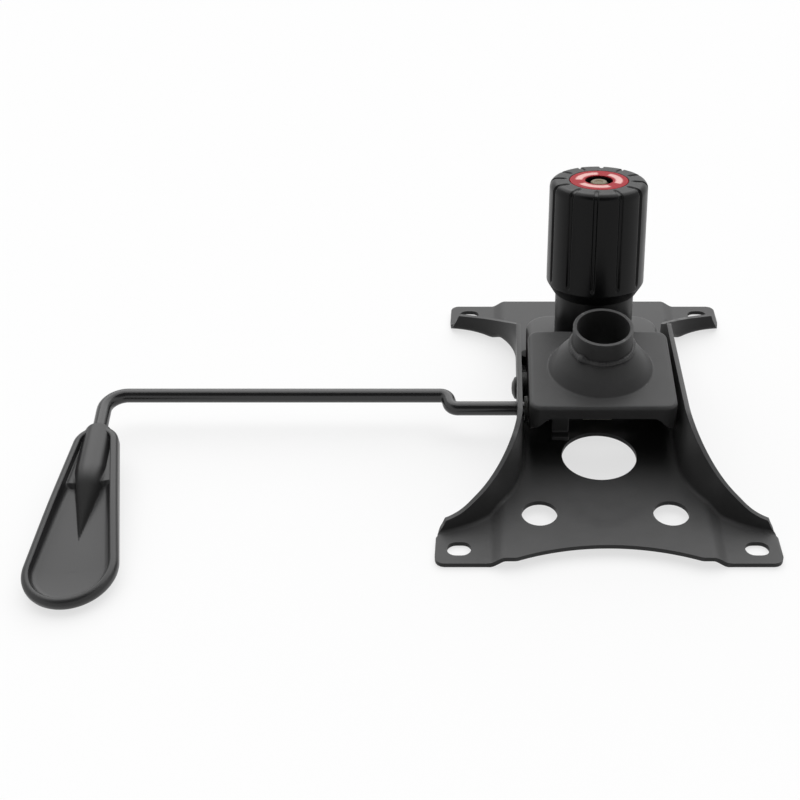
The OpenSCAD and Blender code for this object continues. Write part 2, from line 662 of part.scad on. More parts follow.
// A ring lies in the mitre between two runs
function rod_point(i, j) = let (
    r = rod_r - press_fit,
    mitre = run_heading(min(i, leg_run)) - turn_before(i) / 2,
    out = r * cos(360 * j / rod_sides) / cos(turn_before(i) / 2),
    at = run_start(i))
    [at[0] - out * sin(mitre), at[1] + out * cos(mitre), -r * sin(360 * j / rod_sides)];
module at_leg() translate(run_start(leg_run)) rotate([0, 0, run_heading(leg_run)]) children();
module lever_rod() color(black) in_lever() {
    along_x(-jog_x, rod_end_x, rod_r);
    polyhedron(
        points = [for (i = [0:leg_run + 1], j = [0:rod_sides - 1]) rod_point(i, j)],
        faces = tube_faces(leg_run + 1, rod_sides));
}
module rod_clip() color(steel) in_lever()
    ring_x(clip_x, clip_x + clip_t, rod_r + press_fit, rod_bush_flange_r);
module rod_bushes() color(nylon) at_socket() translate([0, 0, rod_h]) both_sides() difference() {
    union() {
        along_x(housing_inner_x - rod_bush_flange_t, housing_x + rod_bush_flange_t, rod_bush_r);
        along_x(housing_x, housing_x + rod_bush_flange_t, rod_bush_flange_r);
        along_x(housing_inner_x - rod_bush_flange_t, housing_inner_x, rod_bush_flange_r);
    }
    along_x(0, half_x, rod_r + run_fit);
}
module release_cam() color(steel) in_lever() difference() {
    union() {
        along_x(-cam_w / 2, cam_w / 2, cam_r);
        translate([-cam_w / 4, 0, -finger_t / 2]) cube([cam_w / 2, finger_reach - finger_t / 2, finger_t]);
        translate([0, finger_reach - finger_t / 2, 0]) along_x(-cam_w / 4, cam_w / 4, finger_t / 2);
    }
    along_x(-cam_w, cam_w, rod_r + run_fit);
}

// Handle: a spoon with its hollow side up, drawn along -X from the rod's leg
neck_r = handle_neck_w / 2;
bowl_r = handle_w / 2;
bowl_x = handle_l - bowl_r;
module spoon(inset) {
    span = bowl_x - neck_r;
    lean = asin((bowl_r - neck_r) / span);
    r0 = neck_r - inset;
    r1 = bowl_r - inset;
    translate([-neck_r, 0]) circle(r0);
    translate([-bowl_x, 0]) circle(r1, $fn = 96);
    both = [[r0 - graze, neck_r], [r1 - graze, bowl_x]];
    polygon([for (side = [1, -1], i = side > 0 ? [0, 1] : [1, 0])
        [both[i][0] * sin(lean) - both[i][1], side * both[i][0] * cos(lean)]]);
}
module lever_handle() color(plastic) in_lever() at_leg()
    translate([-leg_chord / 2 - leg_bare, 0, 0]) difference() {
    boss_r = rod_r + boss_wall;
    boss_end = rod_in_handle + handle_wall;
    union() {
        difference() {
            translate([0, 0, -handle_below]) linear_extrude(handle_below + handle_above) spoon(0);
            translate([0, 0, handle_floor - handle_below]) linear_extrude(handle_below + handle_above) spoon(handle_wall);
        }
        intersection() {
            union() {
                along_x(-boss_end, 0, boss_r);
                translate([-boss_end, -boss_r, -handle_below]) cube([boss_end, 2 * boss_r, handle_below]);
                translate([-boss_end, 0, -handle_below]) linear_extrude(handle_below)
                    polygon([[cut, boss_r], [cut, -boss_r], [-ridge_l, 0]]);
            }
            translate([0, 0, -handle_below]) linear_extrude(3 * handle_below) spoon(0);
        }
    }
    along_x(-rod_in_handle - rest_gap, cut, rod_r + press_fit);
}

seat_plate();
pivot_axle();
axle_ring();
anchor_bracket();
rest_bumpers();
tension_bolt();
thrust_washer();
knob();
knob_nut();
knob_disc();
housing();
socket_tube();
socket_weld();
pivot_tube();
pivot_bushes();
inner_tab();
spring_seat();
spring_sleeve();
tension_spring();
rod_bushes();
release_cam();
lever_rod();
rod_clip();
lever_handle();
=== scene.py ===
"""Looks of an office chair tilt mechanism that lies upside down on its seat plate.

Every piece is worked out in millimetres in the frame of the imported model: +Z away from the seat,
+Y to the front of the chair, -X to the hand lever. Meshes are written in metres.
"""

import logging
from dataclasses import dataclass
from enum import Enum
from typing import Optional, Sequence, Union

import bmesh
import bpy
import numpy as np
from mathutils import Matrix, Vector


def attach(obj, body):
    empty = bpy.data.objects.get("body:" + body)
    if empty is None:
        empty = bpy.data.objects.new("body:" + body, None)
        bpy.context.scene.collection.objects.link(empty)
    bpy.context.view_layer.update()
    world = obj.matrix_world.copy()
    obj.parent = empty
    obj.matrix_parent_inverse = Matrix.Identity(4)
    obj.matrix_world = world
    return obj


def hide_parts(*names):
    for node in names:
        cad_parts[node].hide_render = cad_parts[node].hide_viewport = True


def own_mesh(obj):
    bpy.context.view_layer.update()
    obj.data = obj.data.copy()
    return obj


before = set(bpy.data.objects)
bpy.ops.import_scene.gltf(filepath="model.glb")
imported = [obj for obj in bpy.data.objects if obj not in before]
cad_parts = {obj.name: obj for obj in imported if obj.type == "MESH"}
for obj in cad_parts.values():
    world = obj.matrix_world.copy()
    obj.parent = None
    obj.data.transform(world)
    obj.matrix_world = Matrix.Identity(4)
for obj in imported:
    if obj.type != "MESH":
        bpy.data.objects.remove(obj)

LOG = logging.getLogger("tilt_mechanism")
MM = 0.001
WELD_DISTANCE = 1e-6
CLOSE = 1e-6
TINY = 1e-9
QUARTER = 0.5 * np.pi

Pair = tuple[float, float]
Point = tuple[float, float, float]
Colour = tuple[float, float, float]
Corners = Sequence[tuple[float, float, float]]
Values = Union[np.ndarray, float]
Tree = bpy.types.ShaderNodeTree
Socket = bpy.types.NodeSocket
Value = Union[Socket, float, tuple[float, ...]]


class Body(str, Enum):
    """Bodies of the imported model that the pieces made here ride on."""

    PLATE = "seat_plate"
    HOUSING = "housing"
    BOLT = "tension_bolt"
    WASHER = "thrust_washer"
    KNOB = "knob"
    LEVER = "lever"


class Slot(str, Enum):
    """Material slots of the record."""

    COAT = "coated_steel"
    AXLE = "axle_steel"
    STEEL = "bright_steel"
    SPRING = "spring_steel"
    ROD = "rod_steel"
    RUBBER = "bumper_rubber"
    KNOB = "knob_plastic"
    SLEEVE = "sleeve_plastic"
    HANDLE = "handle_plastic"
    DISC = "disc_red"
    NYLON = "nylon"


# Arrays and curves


def smooth_step(x: np.ndarray, low: float, high: float) -> np.ndarray:
    """Rise from 0 at low to 1 at high along a cubic with level ends."""
    t = np.clip((x - low) / (high - low), 0.0, 1.0)
    return t * t * (3.0 - 2.0 * t)


def soft_max(a: np.ndarray, b: np.ndarray, blend: float) -> np.ndarray:
    """Larger of two values, rounded with a parabola where they differ by less than blend."""
    share = np.clip(0.5 + 0.5 * (a - b) / blend, 0.0, 1.0)
    return b + (a - b) * share + blend * share * (1.0 - share)


def unit(vectors: np.ndarray) -> np.ndarray:
    """Vectors along the last axis, each divided by its length."""
    return vectors / np.linalg.norm(vectors, axis=-1, keepdims=True)


def circle_height(radius: float, off: np.ndarray) -> np.ndarray:
    """Height of a circle above its middle at a distance off, and 0 beyond the circle."""
    return np.sqrt(np.maximum(radius**2 - off**2, 0.0))


def around(count: int) -> np.ndarray:
    """Angles evenly spaced over a full turn."""
    return np.linspace(0.0, 2.0 * np.pi, count, endpoint=False)


def steps_to(end: float, count: int) -> np.ndarray:
    """Even steps from 0 to an end, without the 0."""
    return np.linspace(0.0, end, count + 1)[1:]


def lifted(flat: np.ndarray, height: Values) -> np.ndarray:
    """Points in a plane with their heights as the third coordinate."""
    return np.stack(np.broadcast_arrays(flat[..., 0], flat[..., 1], height), -1)


def polar(radius: Values, turn: np.ndarray, height: Values) -> np.ndarray:
    """Points at a radius and an angle round the Z axis, with their heights."""
    return np.stack(np.broadcast_arrays(radius * np.cos(turn), radius * np.sin(turn), height), -1)


def cell_middles(values: np.ndarray) -> np.ndarray:
    """Mean of the four corners of each cell of a grid."""
    return (values[:-1, :-1] + values[1:, 1:] + values[:-1, 1:] + values[1:, :-1]) / 4.0


def round_corners(corners: Corners, steps: int = 5, closed: bool = False) -> np.ndarray:
    """Polyline whose corners are arcs tangent to both sides.

    Args:
        corners: Two coordinates and a corner radius each.
        steps: Number of chords in an arc.
        closed: True where the last corner joins the first.

    Returns:
        Points of the rounded line, one row each.
    """
    data = np.array(corners, float)
    pieces = []
    last = len(data) - 1
    for i, (x, y, radius) in enumerate(data):
        here = np.array([x, y])
        if radius <= 0.0 or (not closed and i in (0, last)):
            pieces.append(here[None])
            continue
        back = unit(data[i - 1, :2] - here)
        ahead = unit(data[(i + 1) % len(data), :2] - here)
        half = 0.5 * np.arccos(np.clip(back @ ahead, -1.0, 1.0))
        centre = here + unit(back + ahead) * radius / np.sin(half)
        start = here + back * radius / np.tan(half) - centre
        end = here + ahead * radius / np.tan(half) - centre
        sweep = np.pi - 2.0 * half
        t = np.linspace(0.0, 1.0, steps + 1)[:, None]
        arc = start * np.sin((1.0 - t) * sweep) + end * np.sin(t * sweep)
        pieces.append(centre + arc / np.sin(sweep))
    return np.concatenate(pieces)


def refine(line: np.ndarray, longest: float, closed: bool = False) -> np.ndarray:
    """Split the long chords of a line evenly.

    Args:
        line: Points of the line, one row each.
        longest: Longest chord allowed.
        closed: True where the last point joins the first.

    Returns:
        Points of the finer line.
    """
    ends = np.roll(line, -1, axis=0) if closed else line[1:]
    starts = line if closed else line[:-1]
    lengths = np.linalg.norm(ends - starts, axis=1)
    counts = np.maximum(1, np.ceil(lengths / longest)).astype(int)
    which = np.repeat(np.arange(len(starts)), counts)
    first = np.repeat(np.cumsum(counts) - counts, counts)
    share = ((np.arange(len(which)) - first) / counts[which])[:, None]
    fine = starts[which] + (ends[which] - starts[which]) * share
    return fine if closed else np.concatenate([fine, line[-1:]])


def stations(breaks: Sequence[float], step: float, least: int = 1) -> np.ndarray:
    """Rising values that hold every break and fill the gaps between them evenly.

    Args:
        breaks: Values that have to be in the list, in order.
        step: Largest gap.
        least: Fewest steps between two breaks.

    Returns:
        The values.
    """
    parts = [
        np.linspace(a, b, max(least, int(np.ceil((b - a) / step))) + 1)[:-1]
        for a, b in zip(breaks[:-1], breaks[1:])
    ]
    return np.concatenate(parts + [np.array(breaks[-1:])])


@dataclass(frozen=True)
class Place:
    """A local frame: turned about X by an angle, then set down at a point."""

    origin: Point
    turn_deg: float

    def put(self, points: np.ndarray) -> np.ndarray:
        """Carry local points, coordinates along the last axis, into the shared frame."""
        turn = np.radians(self.turn_deg)
        x, y, z = np.moveaxis(points, -1, 0)
        turned = [x, y * np.cos(turn) - z * np.sin(turn), y * np.sin(turn) + z * np.cos(turn)]
        return np.stack(turned, axis=-1) + np.array(self.origin)


PIVOT_PLACE = Place((0.0, 6.5, 18.0), 0.0)
HOUSING_PLACE = Place(PIVOT_PLACE.origin, 5.8)
BOLT_PLACE = Place((0.0, 36.0, 20.0), -7.0)
LEVER_PLACE = Place((0.0, -15.8169, 20.005), 5.9)
SOCKET_MIDDLE = np.array([0.0, -22.0])
SOCKET_PLACE = Place(tuple(HOUSING_PLACE.put(lifted(SOCKET_MIDDLE, 0.0))), HOUSING_PLACE.turn_deg)


# Surfaces


@dataclass
class Surface:
    """Points in millimetres, the quads between them and their flat coordinates."""

    points: np.ndarray
    faces: np.ndarray
    uv: np.ndarray

    @staticmethod
    def grid(
        points: np.ndarray,
        wrap_rows: bool = False,
        wrap_cols: bool = False,
        keep: Optional[np.ndarray] = None,
    ) -> "Surface":
        """Quads between the neighbours of a grid of points.

        Args:
            points: Grid of points, rows by columns by three.
            wrap_rows: True where the last row joins the first.
            wrap_cols: True where the last column joins the first.
            keep: Cells that are kept, all of them where None.

        Returns:
            The surface, with column and row shares as flat coordinates.
        """
        rows, cols = points.shape[:2]
        row_cells = rows if wrap_rows else rows - 1
        col_cells = cols if wrap_cols else cols - 1
        i, j = np.meshgrid(np.arange(row_cells), np.arange(col_cells), indexing="ij")
        below, beside = (i + 1) % rows, (j + 1) % cols
        quads = [i * cols + j, i * cols + beside, below * cols + beside, below * cols + j]
        across = np.stack([j, j + 1, j + 1, j], -1) / col_cells
        along = np.stack([i, i, i + 1, i + 1], -1) / row_cells
        uv = np.stack([across, along], -1)
        chosen = np.ones(i.shape, bool) if keep is None else keep
        return Surface(points.reshape(-1, 3), np.stack(quads, -1)[chosen], uv[chosen])

    @staticmethod
    def join(*parts: "Surface") -> "Surface":
        """Put several surfaces into one."""
        starts = np.cumsum([0] + [len(p.points) for p in parts[:-1]])
        return Surface(
            np.concatenate([p.points for p in parts]),
            np.concatenate([p.faces + s for p, s in zip(parts, starts)]),
            np.concatenate([p.uv for p in parts]),
        )


def turned(
    place: Place, profile: np.ndarray, columns: int, closed: bool = False, round_x: bool = False
) -> Surface:
    """Profile turned round the Z axis of a place, or round its X axis.

    Args:
        place: Local frame.
        profile: Radius of each point and its height along the axis.
        columns: Number of places round the axis.
        closed: True where the last profile point joins the first.
        round_x: True for the X axis.

    Returns:
        The turned surface, one row for each profile point.
    """
    grid = polar(profile[:, :1], around(columns), profile[:, 1:])
    if round_x:
        grid = np.roll(grid, 1, axis=-1)
    return Surface.grid(place.put(grid), wrap_rows=closed, wrap_cols=True)


def turned_ring(place: Place, corners: Corners, longest: float, columns: int) -> Surface:
    """Closed profile with rounded corners and short chords, turned round the Z axis of a place."""
    profile = refine(round_corners(corners, closed=True), longest, closed=True)
    return turned(place, profile, columns, closed=True)


def tube_along(place: Place, path: np.ndarray, side: np.ndarray, radius: np.ndarray, sides: int) -> Surface:
    """Round profile carried along a path, upright on it, with both ends drawn to a point.

    Args:
        place: Local frame.
        path: Points of the path.
        side: Level unit vector across the path at each point.
        radius: Radius at each point.
        sides: Number of points round the profile.

    Returns:
        The closed tube.
    """
    angle = around(sides)[None, :, None]
    ring = np.cos(angle) * side[:, None] + np.sin(angle) * np.array([0.0, 0.0, 1.0])
    reach = radius.copy()
    reach[[0, -1]] = 0.0
    return Surface.grid(place.put(path[:, None] + reach[:, None, None] * ring), wrap_cols=True)


def box_outline(x: float, rear: Pair, front: Pair, longest: float) -> tuple[np.ndarray, np.ndarray]:
    """Rounded rectangle, symmetric in X, anticlockwise from above.

    Args:
        x: Half width.
        rear: Lowest Y and the radius of the corners there.
        front: Highest Y and the radius of the corners there.
        longest: Longest chord.

    Returns:
        Points of the outline and their outward normals.
    """
    corners = [(x, *rear), (x, *front), (-x, *front), (-x, *rear)]
    line = refine(round_corners(corners, steps=10, closed=True), longest, closed=True)
    along = unit(np.roll(line, -1, axis=0) - np.roll(line, 1, axis=0))
    return line, np.stack([along[:, 1], -along[:, 0]], -1)


def pressed_rings(
    start: np.ndarray,
    outline: tuple[np.ndarray, np.ndarray],
    edge_r: np.ndarray,
    top: float,
    low: Values,
    counts: tuple[int, int, int],
) -> np.ndarray:
    """Rings from a start ring out over a flat top, a quarter turn round its edge and down a wall.

    Args:
        start: Ring in the plane of the top, which isn't repeated.
        outline: Points of the wall from above and their outward normals.
        edge_r: Radius of the edge at each point.
        top: Height of the flat top.
        low: Height of the wall's lower edge.
        counts: Number of rings on the top, the edge and the wall.

    Returns:
        Points, ring by ring.
    """
    line, normal = outline
    inner = line - normal * edge_r[:, None]
    share = steps_to(1.0, counts[0])[:, None, None]
    flat = lifted(start * (1.0 - share) + inner * share, top)
    turn = steps_to(QUARTER, counts[1])[:, None]
    out = inner + normal * (edge_r * np.sin(turn))[..., None]
    edge = lifted(out, top - edge_r * (1.0 - np.cos(turn)))
    foot = top - edge_r
    wall = lifted(line, foot + (low - foot) * steps_to(1.0, counts[2])[:, None])
    return np.concatenate([flat, edge, wall])


# Shader nodes


def feed(tree: Tree, node: bpy.types.Node, inputs: dict[Union[str, int], Value]) -> None:
    """Link sockets to a node's inputs, found by name or number, and set plain values there."""
    for place, value in inputs.items():
        if isinstance(value, Socket):
            tree.links.new(value, node.inputs[place])
        else:
            node.inputs[place].default_value = value


def add_node(
    tree: Tree, kind: str, inputs: Optional[dict[Union[str, int], Value]] = None, **settings: object
) -> bpy.types.Node:
    """New shader node.

    Args:
        tree: Node tree to build in.
        kind: Type of the node, without the prefix that all shader nodes share.
        inputs: Sockets to link and values to set, by name or number of the input.
        settings: Properties of the node.

    Returns:
        The node.
    """
    node = tree.nodes.new(f"ShaderNode{kind}")
    for label, setting in settings.items():
        setattr(node, label, setting)
    feed(tree, node, inputs or {})
    return node


def math_node(tree: Tree, operation: str, *values: Value) -> Socket:
    """Output of a Math node on sockets and plain values."""
    return add_node(tree, "Math", dict(enumerate(values)), operation=operation).outputs[0]


def mix_node(tree: Tree, share: Value, first: Value, second: Value, kind: str = "FLOAT") -> Socket:
    """Output of a Mix node between two values, or between two colours where the kind is RGBA."""
    at, out = (6, 2) if kind == "RGBA" else (2, 0)
    inputs = {0: share, at: first, at + 1: second}
    return add_node(tree, "Mix", inputs, data_type=kind).outputs[out]


def range_node(tree: Tree, value: Socket, span: Pair, ends: Pair = (0.0, 1.0), way: str = "LINEAR") -> Socket:
    """Output of a Map Range node that passes from one end value to the other over a span."""
    labels = ("From Min", "From Max", "To Min", "To Max")
    inputs = {"Value": value, **dict(zip(labels, (*span, *ends)))}
    return add_node(tree, "MapRange", inputs, interpolation_type=way).outputs["Result"]


# Finishes


@dataclass(frozen=True)
class Finish:
    """What a surface is made of: its colour, gloss, fine grain, and edges lightened partly as rubbed wear and
    partly as a painted highlight.

    A masked finish has painted shade where the first flat coordinate is 1: a darker, duller patch.
    """

    name: str
    slot: Slot
    colour: Colour
    roughness: float
    metallic: float = 0.0
    specular: float = 0.5
    mottle: float = 0.18
    mottle_scale: float = 60.0
    grain_scale: float = 1400.0
    grain_depth: float = 0.00006
    grain_strength: float = 0.25
    # Lightening of the outer edges, part wear and part painted highlight, and its colour.
    rub_and_highlight: float = 0.0
    rub_and_highlight_colour: Colour = (0.16, 0.16, 0.16)
    masked: bool = False


class Finishes(Enum):
    """Finishes of this mechanism."""

    # The rub amounts lighten edges as wear and as a painted highlight; the coats carry the most.
    PLATE_COAT = Finish(
        "dull_powder_coat", Slot.COAT, (0.078, 0.078, 0.0785), 0.46, specular=0.15, rub_and_highlight=0.6)
    COAT = Finish("satin_powder_coat", Slot.COAT, (0.068, 0.068, 0.0685), 0.42, specular=0.18, rub_and_highlight=0.6)
    AXLE = Finish("coated_rivet", Slot.AXLE, (0.02, 0.02, 0.02), 0.32, specular=0.25, rub_and_highlight=0.3)
    STEEL = Finish(
        "zinc_steel", Slot.STEEL, (0.6, 0.58, 0.53), 0.34, metallic=1.0,
        mottle=0.12, mottle_scale=180.0, grain_scale=900.0, grain_depth=0.00003)
    BRASSY = Finish(
        "yellow_zinc", Slot.STEEL, (0.14, 0.12, 0.085), 0.5, metallic=1.0,
        mottle=0.3, mottle_scale=260.0, grain_scale=900.0, grain_depth=0.00003)
    SPRING = Finish(
        "oiled_wire", Slot.SPRING, (0.28, 0.28, 0.29), 0.36, metallic=1.0,
        mottle=0.2, grain_scale=700.0, grain_depth=0.00003)
    ROD = Finish(
        "gloss_rod_coat", Slot.ROD, (0.008, 0.008, 0.0085), 0.24, specular=0.6,
        rub_and_highlight=0.2, grain_scale=900.0, grain_depth=0.00004)
    RUBBER = Finish("bumper_rubber", Slot.RUBBER, (0.02, 0.02, 0.02), 0.7, specular=0.25)
    KNOB = Finish(
        "knob_moulding", Slot.KNOB, (0.0045, 0.0045, 0.0048), 0.3, specular=0.16,
        rub_and_highlight=0.15, grain_scale=2600.0, grain_depth=0.00004)
    SLEEVE = Finish(
        "sleeve_moulding", Slot.SLEEVE, (0.005, 0.005, 0.0053), 0.36, specular=0.2, grain_scale=1800.0)
    # The handle carries painted shade on the ridge behind the boss.
    HANDLE = Finish(
        "handle_moulding", Slot.HANDLE, (0.02, 0.02, 0.0205), 0.34, specular=0.45,
        rub_and_highlight=0.15, mottle_scale=40.0, grain_scale=2200.0, masked=True)
    NYLON = Finish("black_nylon", Slot.NYLON, (0.03, 0.03, 0.03), 0.5, specular=0.4, mottle=0.1)
    GREY_NYLON = Finish("grey_nylon", Slot.NYLON, (0.16, 0.16, 0.155), 0.5, specular=0.4, mottle=0.1)
    DISC = Finish("printed_disc", Slot.DISC, (0.33, 0.016, 0.024), 0.55, specular=0.1, mottle=0.1)


@dataclass(frozen=True)
class Print:
    """Generic print of the disc: pale arcs, by turn and by share of the way from hole to rim."""

    colour: Colour = (0.72, 0.42, 0.4)
    arcs: int = 3
    turn: float = 0.9
    arc_ends: Pair = (-0.75, -0.5)
    middle: float = 0.4
    half_width: Pair = (0.28, 0.16)


class FinishShop:
    """Makes the shared node groups and one material for each finish."""

    colour_swing: float = 2.0
    gloss_swing: float = 0.7
    rub_and_highlight_span: Pair = (0.53, 0.66)
    # Colour of the painted shade on a masked patch, and its roughness.
    painted_shade_colour: Colour = (0.004, 0.004, 0.004)
    matt_roughness: float = 0.85

    def __init__(self) -> None:
        """Build the shared node groups."""
        self.tone = self._tone_group()
        self.grain = self._grain_group()
        self.rub_and_highlight = self._rub_and_highlight_group()
        self.matt = self._painted_shade_group()
        self.made: dict[str, bpy.types.Material] = {}

    @staticmethod
    def _new_group(
        name: str, inputs: dict[str, str], outputs: dict[str, str]
    ) -> tuple[Tree, bpy.types.bpy_prop_collection, bpy.types.Node]:
        """Empty node group with named sockets.

        Args:
            name: Name of the group.
            inputs: Name and kind of each input.
            outputs: Name and kind of each output.

        Returns:
            The group, the sockets of its inputs and its output node.
        """
        group = bpy.data.node_groups.new(name, "ShaderNodeTree")
        for way, sockets in (("INPUT", inputs), ("OUTPUT", outputs)):
            for label, kind in sockets.items():
                group.interface.new_socket(label, in_out=way, socket_type=f"NodeSocket{kind}")
        return group, group.nodes.new("NodeGroupInput").outputs, group.nodes.new("NodeGroupOutput")

    def _tone_group(self) -> Tree:
        """Group that varies a colour and a roughness with cloudy noise."""
        varied = {"Colour": "Color", "Roughness": "Float"}
        kinds = {"Vector": "Vector", **varied, "Spread": "Float", "Scale": "Float"}
        group, given, result = self._new_group("cloudy_tone", kinds, varied)
        noise = add_node(group, "TexNoise", {
            "Vector": given["Vector"], "Scale": given["Scale"], "Detail": 5.0, "Roughness": 0.62})
        centred = math_node(group, "SUBTRACT", noise.outputs["Fac"], 0.5)
        swing = math_node(group, "MULTIPLY", centred, given["Spread"])
        factor = math_node(group, "MULTIPLY_ADD", swing, self.colour_swing, 1.0)
        scaled = add_node(group, "VectorMath", {0: given["Colour"], "Scale": factor}, operation="SCALE")
        rough = math_node(group, "MULTIPLY_ADD", swing, self.gloss_swing, given["Roughness"])
        feed(group, result, {"Colour": scaled.outputs[0], "Roughness": rough})
        return group

    def _grain_group(self) -> Tree:
        """Group that bends the normal with the fine grain of a coat or a mould."""
        kinds = {"Vector": "Vector", "Scale": "Float", "Strength": "Float", "Depth": "Float"}
        group, given, result = self._new_group("fine_grain", kinds, {"Normal": "Vector"})
        noise = add_node(group, "TexNoise", {
            "Vector": given["Vector"], "Scale": given["Scale"], "Detail": 2.0})
        bump = add_node(group, "Bump", {
            "Height": noise.outputs["Fac"], "Strength": given["Strength"], "Distance": given["Depth"]})
        feed(group, result, {"Normal": bump.outputs["Normal"]})
        return group

    def _rub_and_highlight_group(self) -> Tree:
        """Group that lightens the outer edges: partly wear, where handling rubs a coat smooth, and partly a
        painted highlight along the edges.
        """
        kinds = {"Colour": "Color", "Rubbed_and_lit": "Color", "Amount": "Float"}
        group, given, result = self._new_group("rubbed_and_highlit_edges", kinds, {"Colour": "Color"})
        edge = range_node(group, add_node(group, "NewGeometry").outputs["Pointiness"], self.rub_and_highlight_span)
        amount = math_node(group, "MULTIPLY", edge, given["Amount"])
        feed(group, result, {"Colour": mix_node(group, amount, given["Colour"], given["Rubbed_and_lit"], "RGBA")})
        return group

    def _painted_shade_group(self) -> Tree:
        """Group that paints shade on the part that a mask marks: it darkens and dulls it."""
        kinds = {"Colour": "Color", "Roughness": "Float", "Mask": "Float"}
        group, given, result = self._new_group("painted_shade_patch", kinds, {"Colour": "Color", "Roughness": "Float"})
        mask = given["Mask"]
        shaded_colour = mix_node(group, mask, given["Colour"], (*self.painted_shade_colour, 1.0), "RGBA")
        dull = mix_node(group, mask, given["Roughness"], self.matt_roughness)
        feed(group, result, {"Colour": shaded_colour, "Roughness": dull})
        return group

    def material(self, choice: Finishes) -> bpy.types.Material:
        """Material of a finish, made at its first use."""
        finish: Finish = choice.value
        if finish.name not in self.made:
            self.made[finish.name] = self._new_material(finish)
        return self.made[finish.name]

    def _new_material(self, finish: Finish) -> bpy.types.Material:
        """Build the nodes of one finish.

        Args:
            finish: The finish.

        Returns:
            The new material.
        """
        material = bpy.data.materials.new(finish.name)
        material.use_nodes = True
        tree = material.node_tree
        place = add_node(tree, "TexCoord").outputs["Object"]
        paint = self._disc_print(tree, finish) if finish.slot == Slot.DISC else (*finish.colour, 1.0)
        tone = add_node(tree, "Group", {
            "Vector": place, "Colour": paint, "Roughness": finish.roughness,
            "Spread": finish.mottle, "Scale": finish.mottle_scale}, node_tree=self.tone).outputs
        colour, roughness = tone["Colour"], tone["Roughness"]
        # Edges lightened by pointiness: part wear, part painted highlight.
        if finish.rub_and_highlight > 0.0:
            rubbed_and_lit = (*finish.rub_and_highlight_colour, 1.0)
            worn_and_lit = add_node(tree, "Group", {
                "Colour": colour, "Rubbed_and_lit": rubbed_and_lit, "Amount": finish.rub_and_highlight}, node_tree=self.rub_and_highlight)
            colour = worn_and_lit.outputs["Colour"]
        # Painted shade: the masked patch is darkened and dulled.
        if finish.masked:
            mask = self._flat_place(tree)["X"]
            matt = add_node(tree, "Group", {
                "Colour": colour, "Roughness": roughness, "Mask": mask}, node_tree=self.matt).outputs
            colour, roughness = matt["Colour"], matt["Roughness"]
        grain = add_node(tree, "Group", {
            "Vector": place, "Scale": finish.grain_scale, "Strength": finish.grain_strength,
            "Depth": finish.grain_depth}, node_tree=self.grain).outputs
        feed(tree, tree.nodes["Principled BSDF"], {
            "Base Color": colour, "Roughness": roughness, "Normal": grain["Normal"],
            "Metallic": finish.metallic, "Specular IOR Level": finish.specular})
        return material

    @staticmethod
    def _flat_place(tree: Tree) -> bpy.types.bpy_prop_collection:
        """Sockets with the two flat coordinates of a piece."""
        return add_node(tree, "SeparateXYZ", {0: add_node(tree, "UVMap").outputs["UV"]}).outputs

    def _disc_print(self, tree: Tree, finish: Finish) -> Socket:
        """Colour of the disc: its print on the finish's own colour."""
        look = Print()
        flat = self._flat_place(tree)
        wave = math_node(tree, "MULTIPLY_ADD", flat["X"], 2.0 * np.pi * look.arcs, look.turn)
        arcs = range_node(tree, math_node(tree, "SINE", wave), look.arc_ends)
        off_line = math_node(tree, "ABSOLUTE", math_node(tree, "SUBTRACT", flat["Y"], look.middle))
        both = math_node(tree, "MULTIPLY", arcs, range_node(tree, off_line, look.half_width))
        return mix_node(tree, both, (*finish.colour, 1.0), (*look.colour, 1.0), "RGBA")


# Pieces


@dataclass(frozen=True)
class Sheet:
    """How a surface becomes sheet metal: its thickness, its side and the rounding of its edges."""

    thickness: float
    offset: float
    edge: float


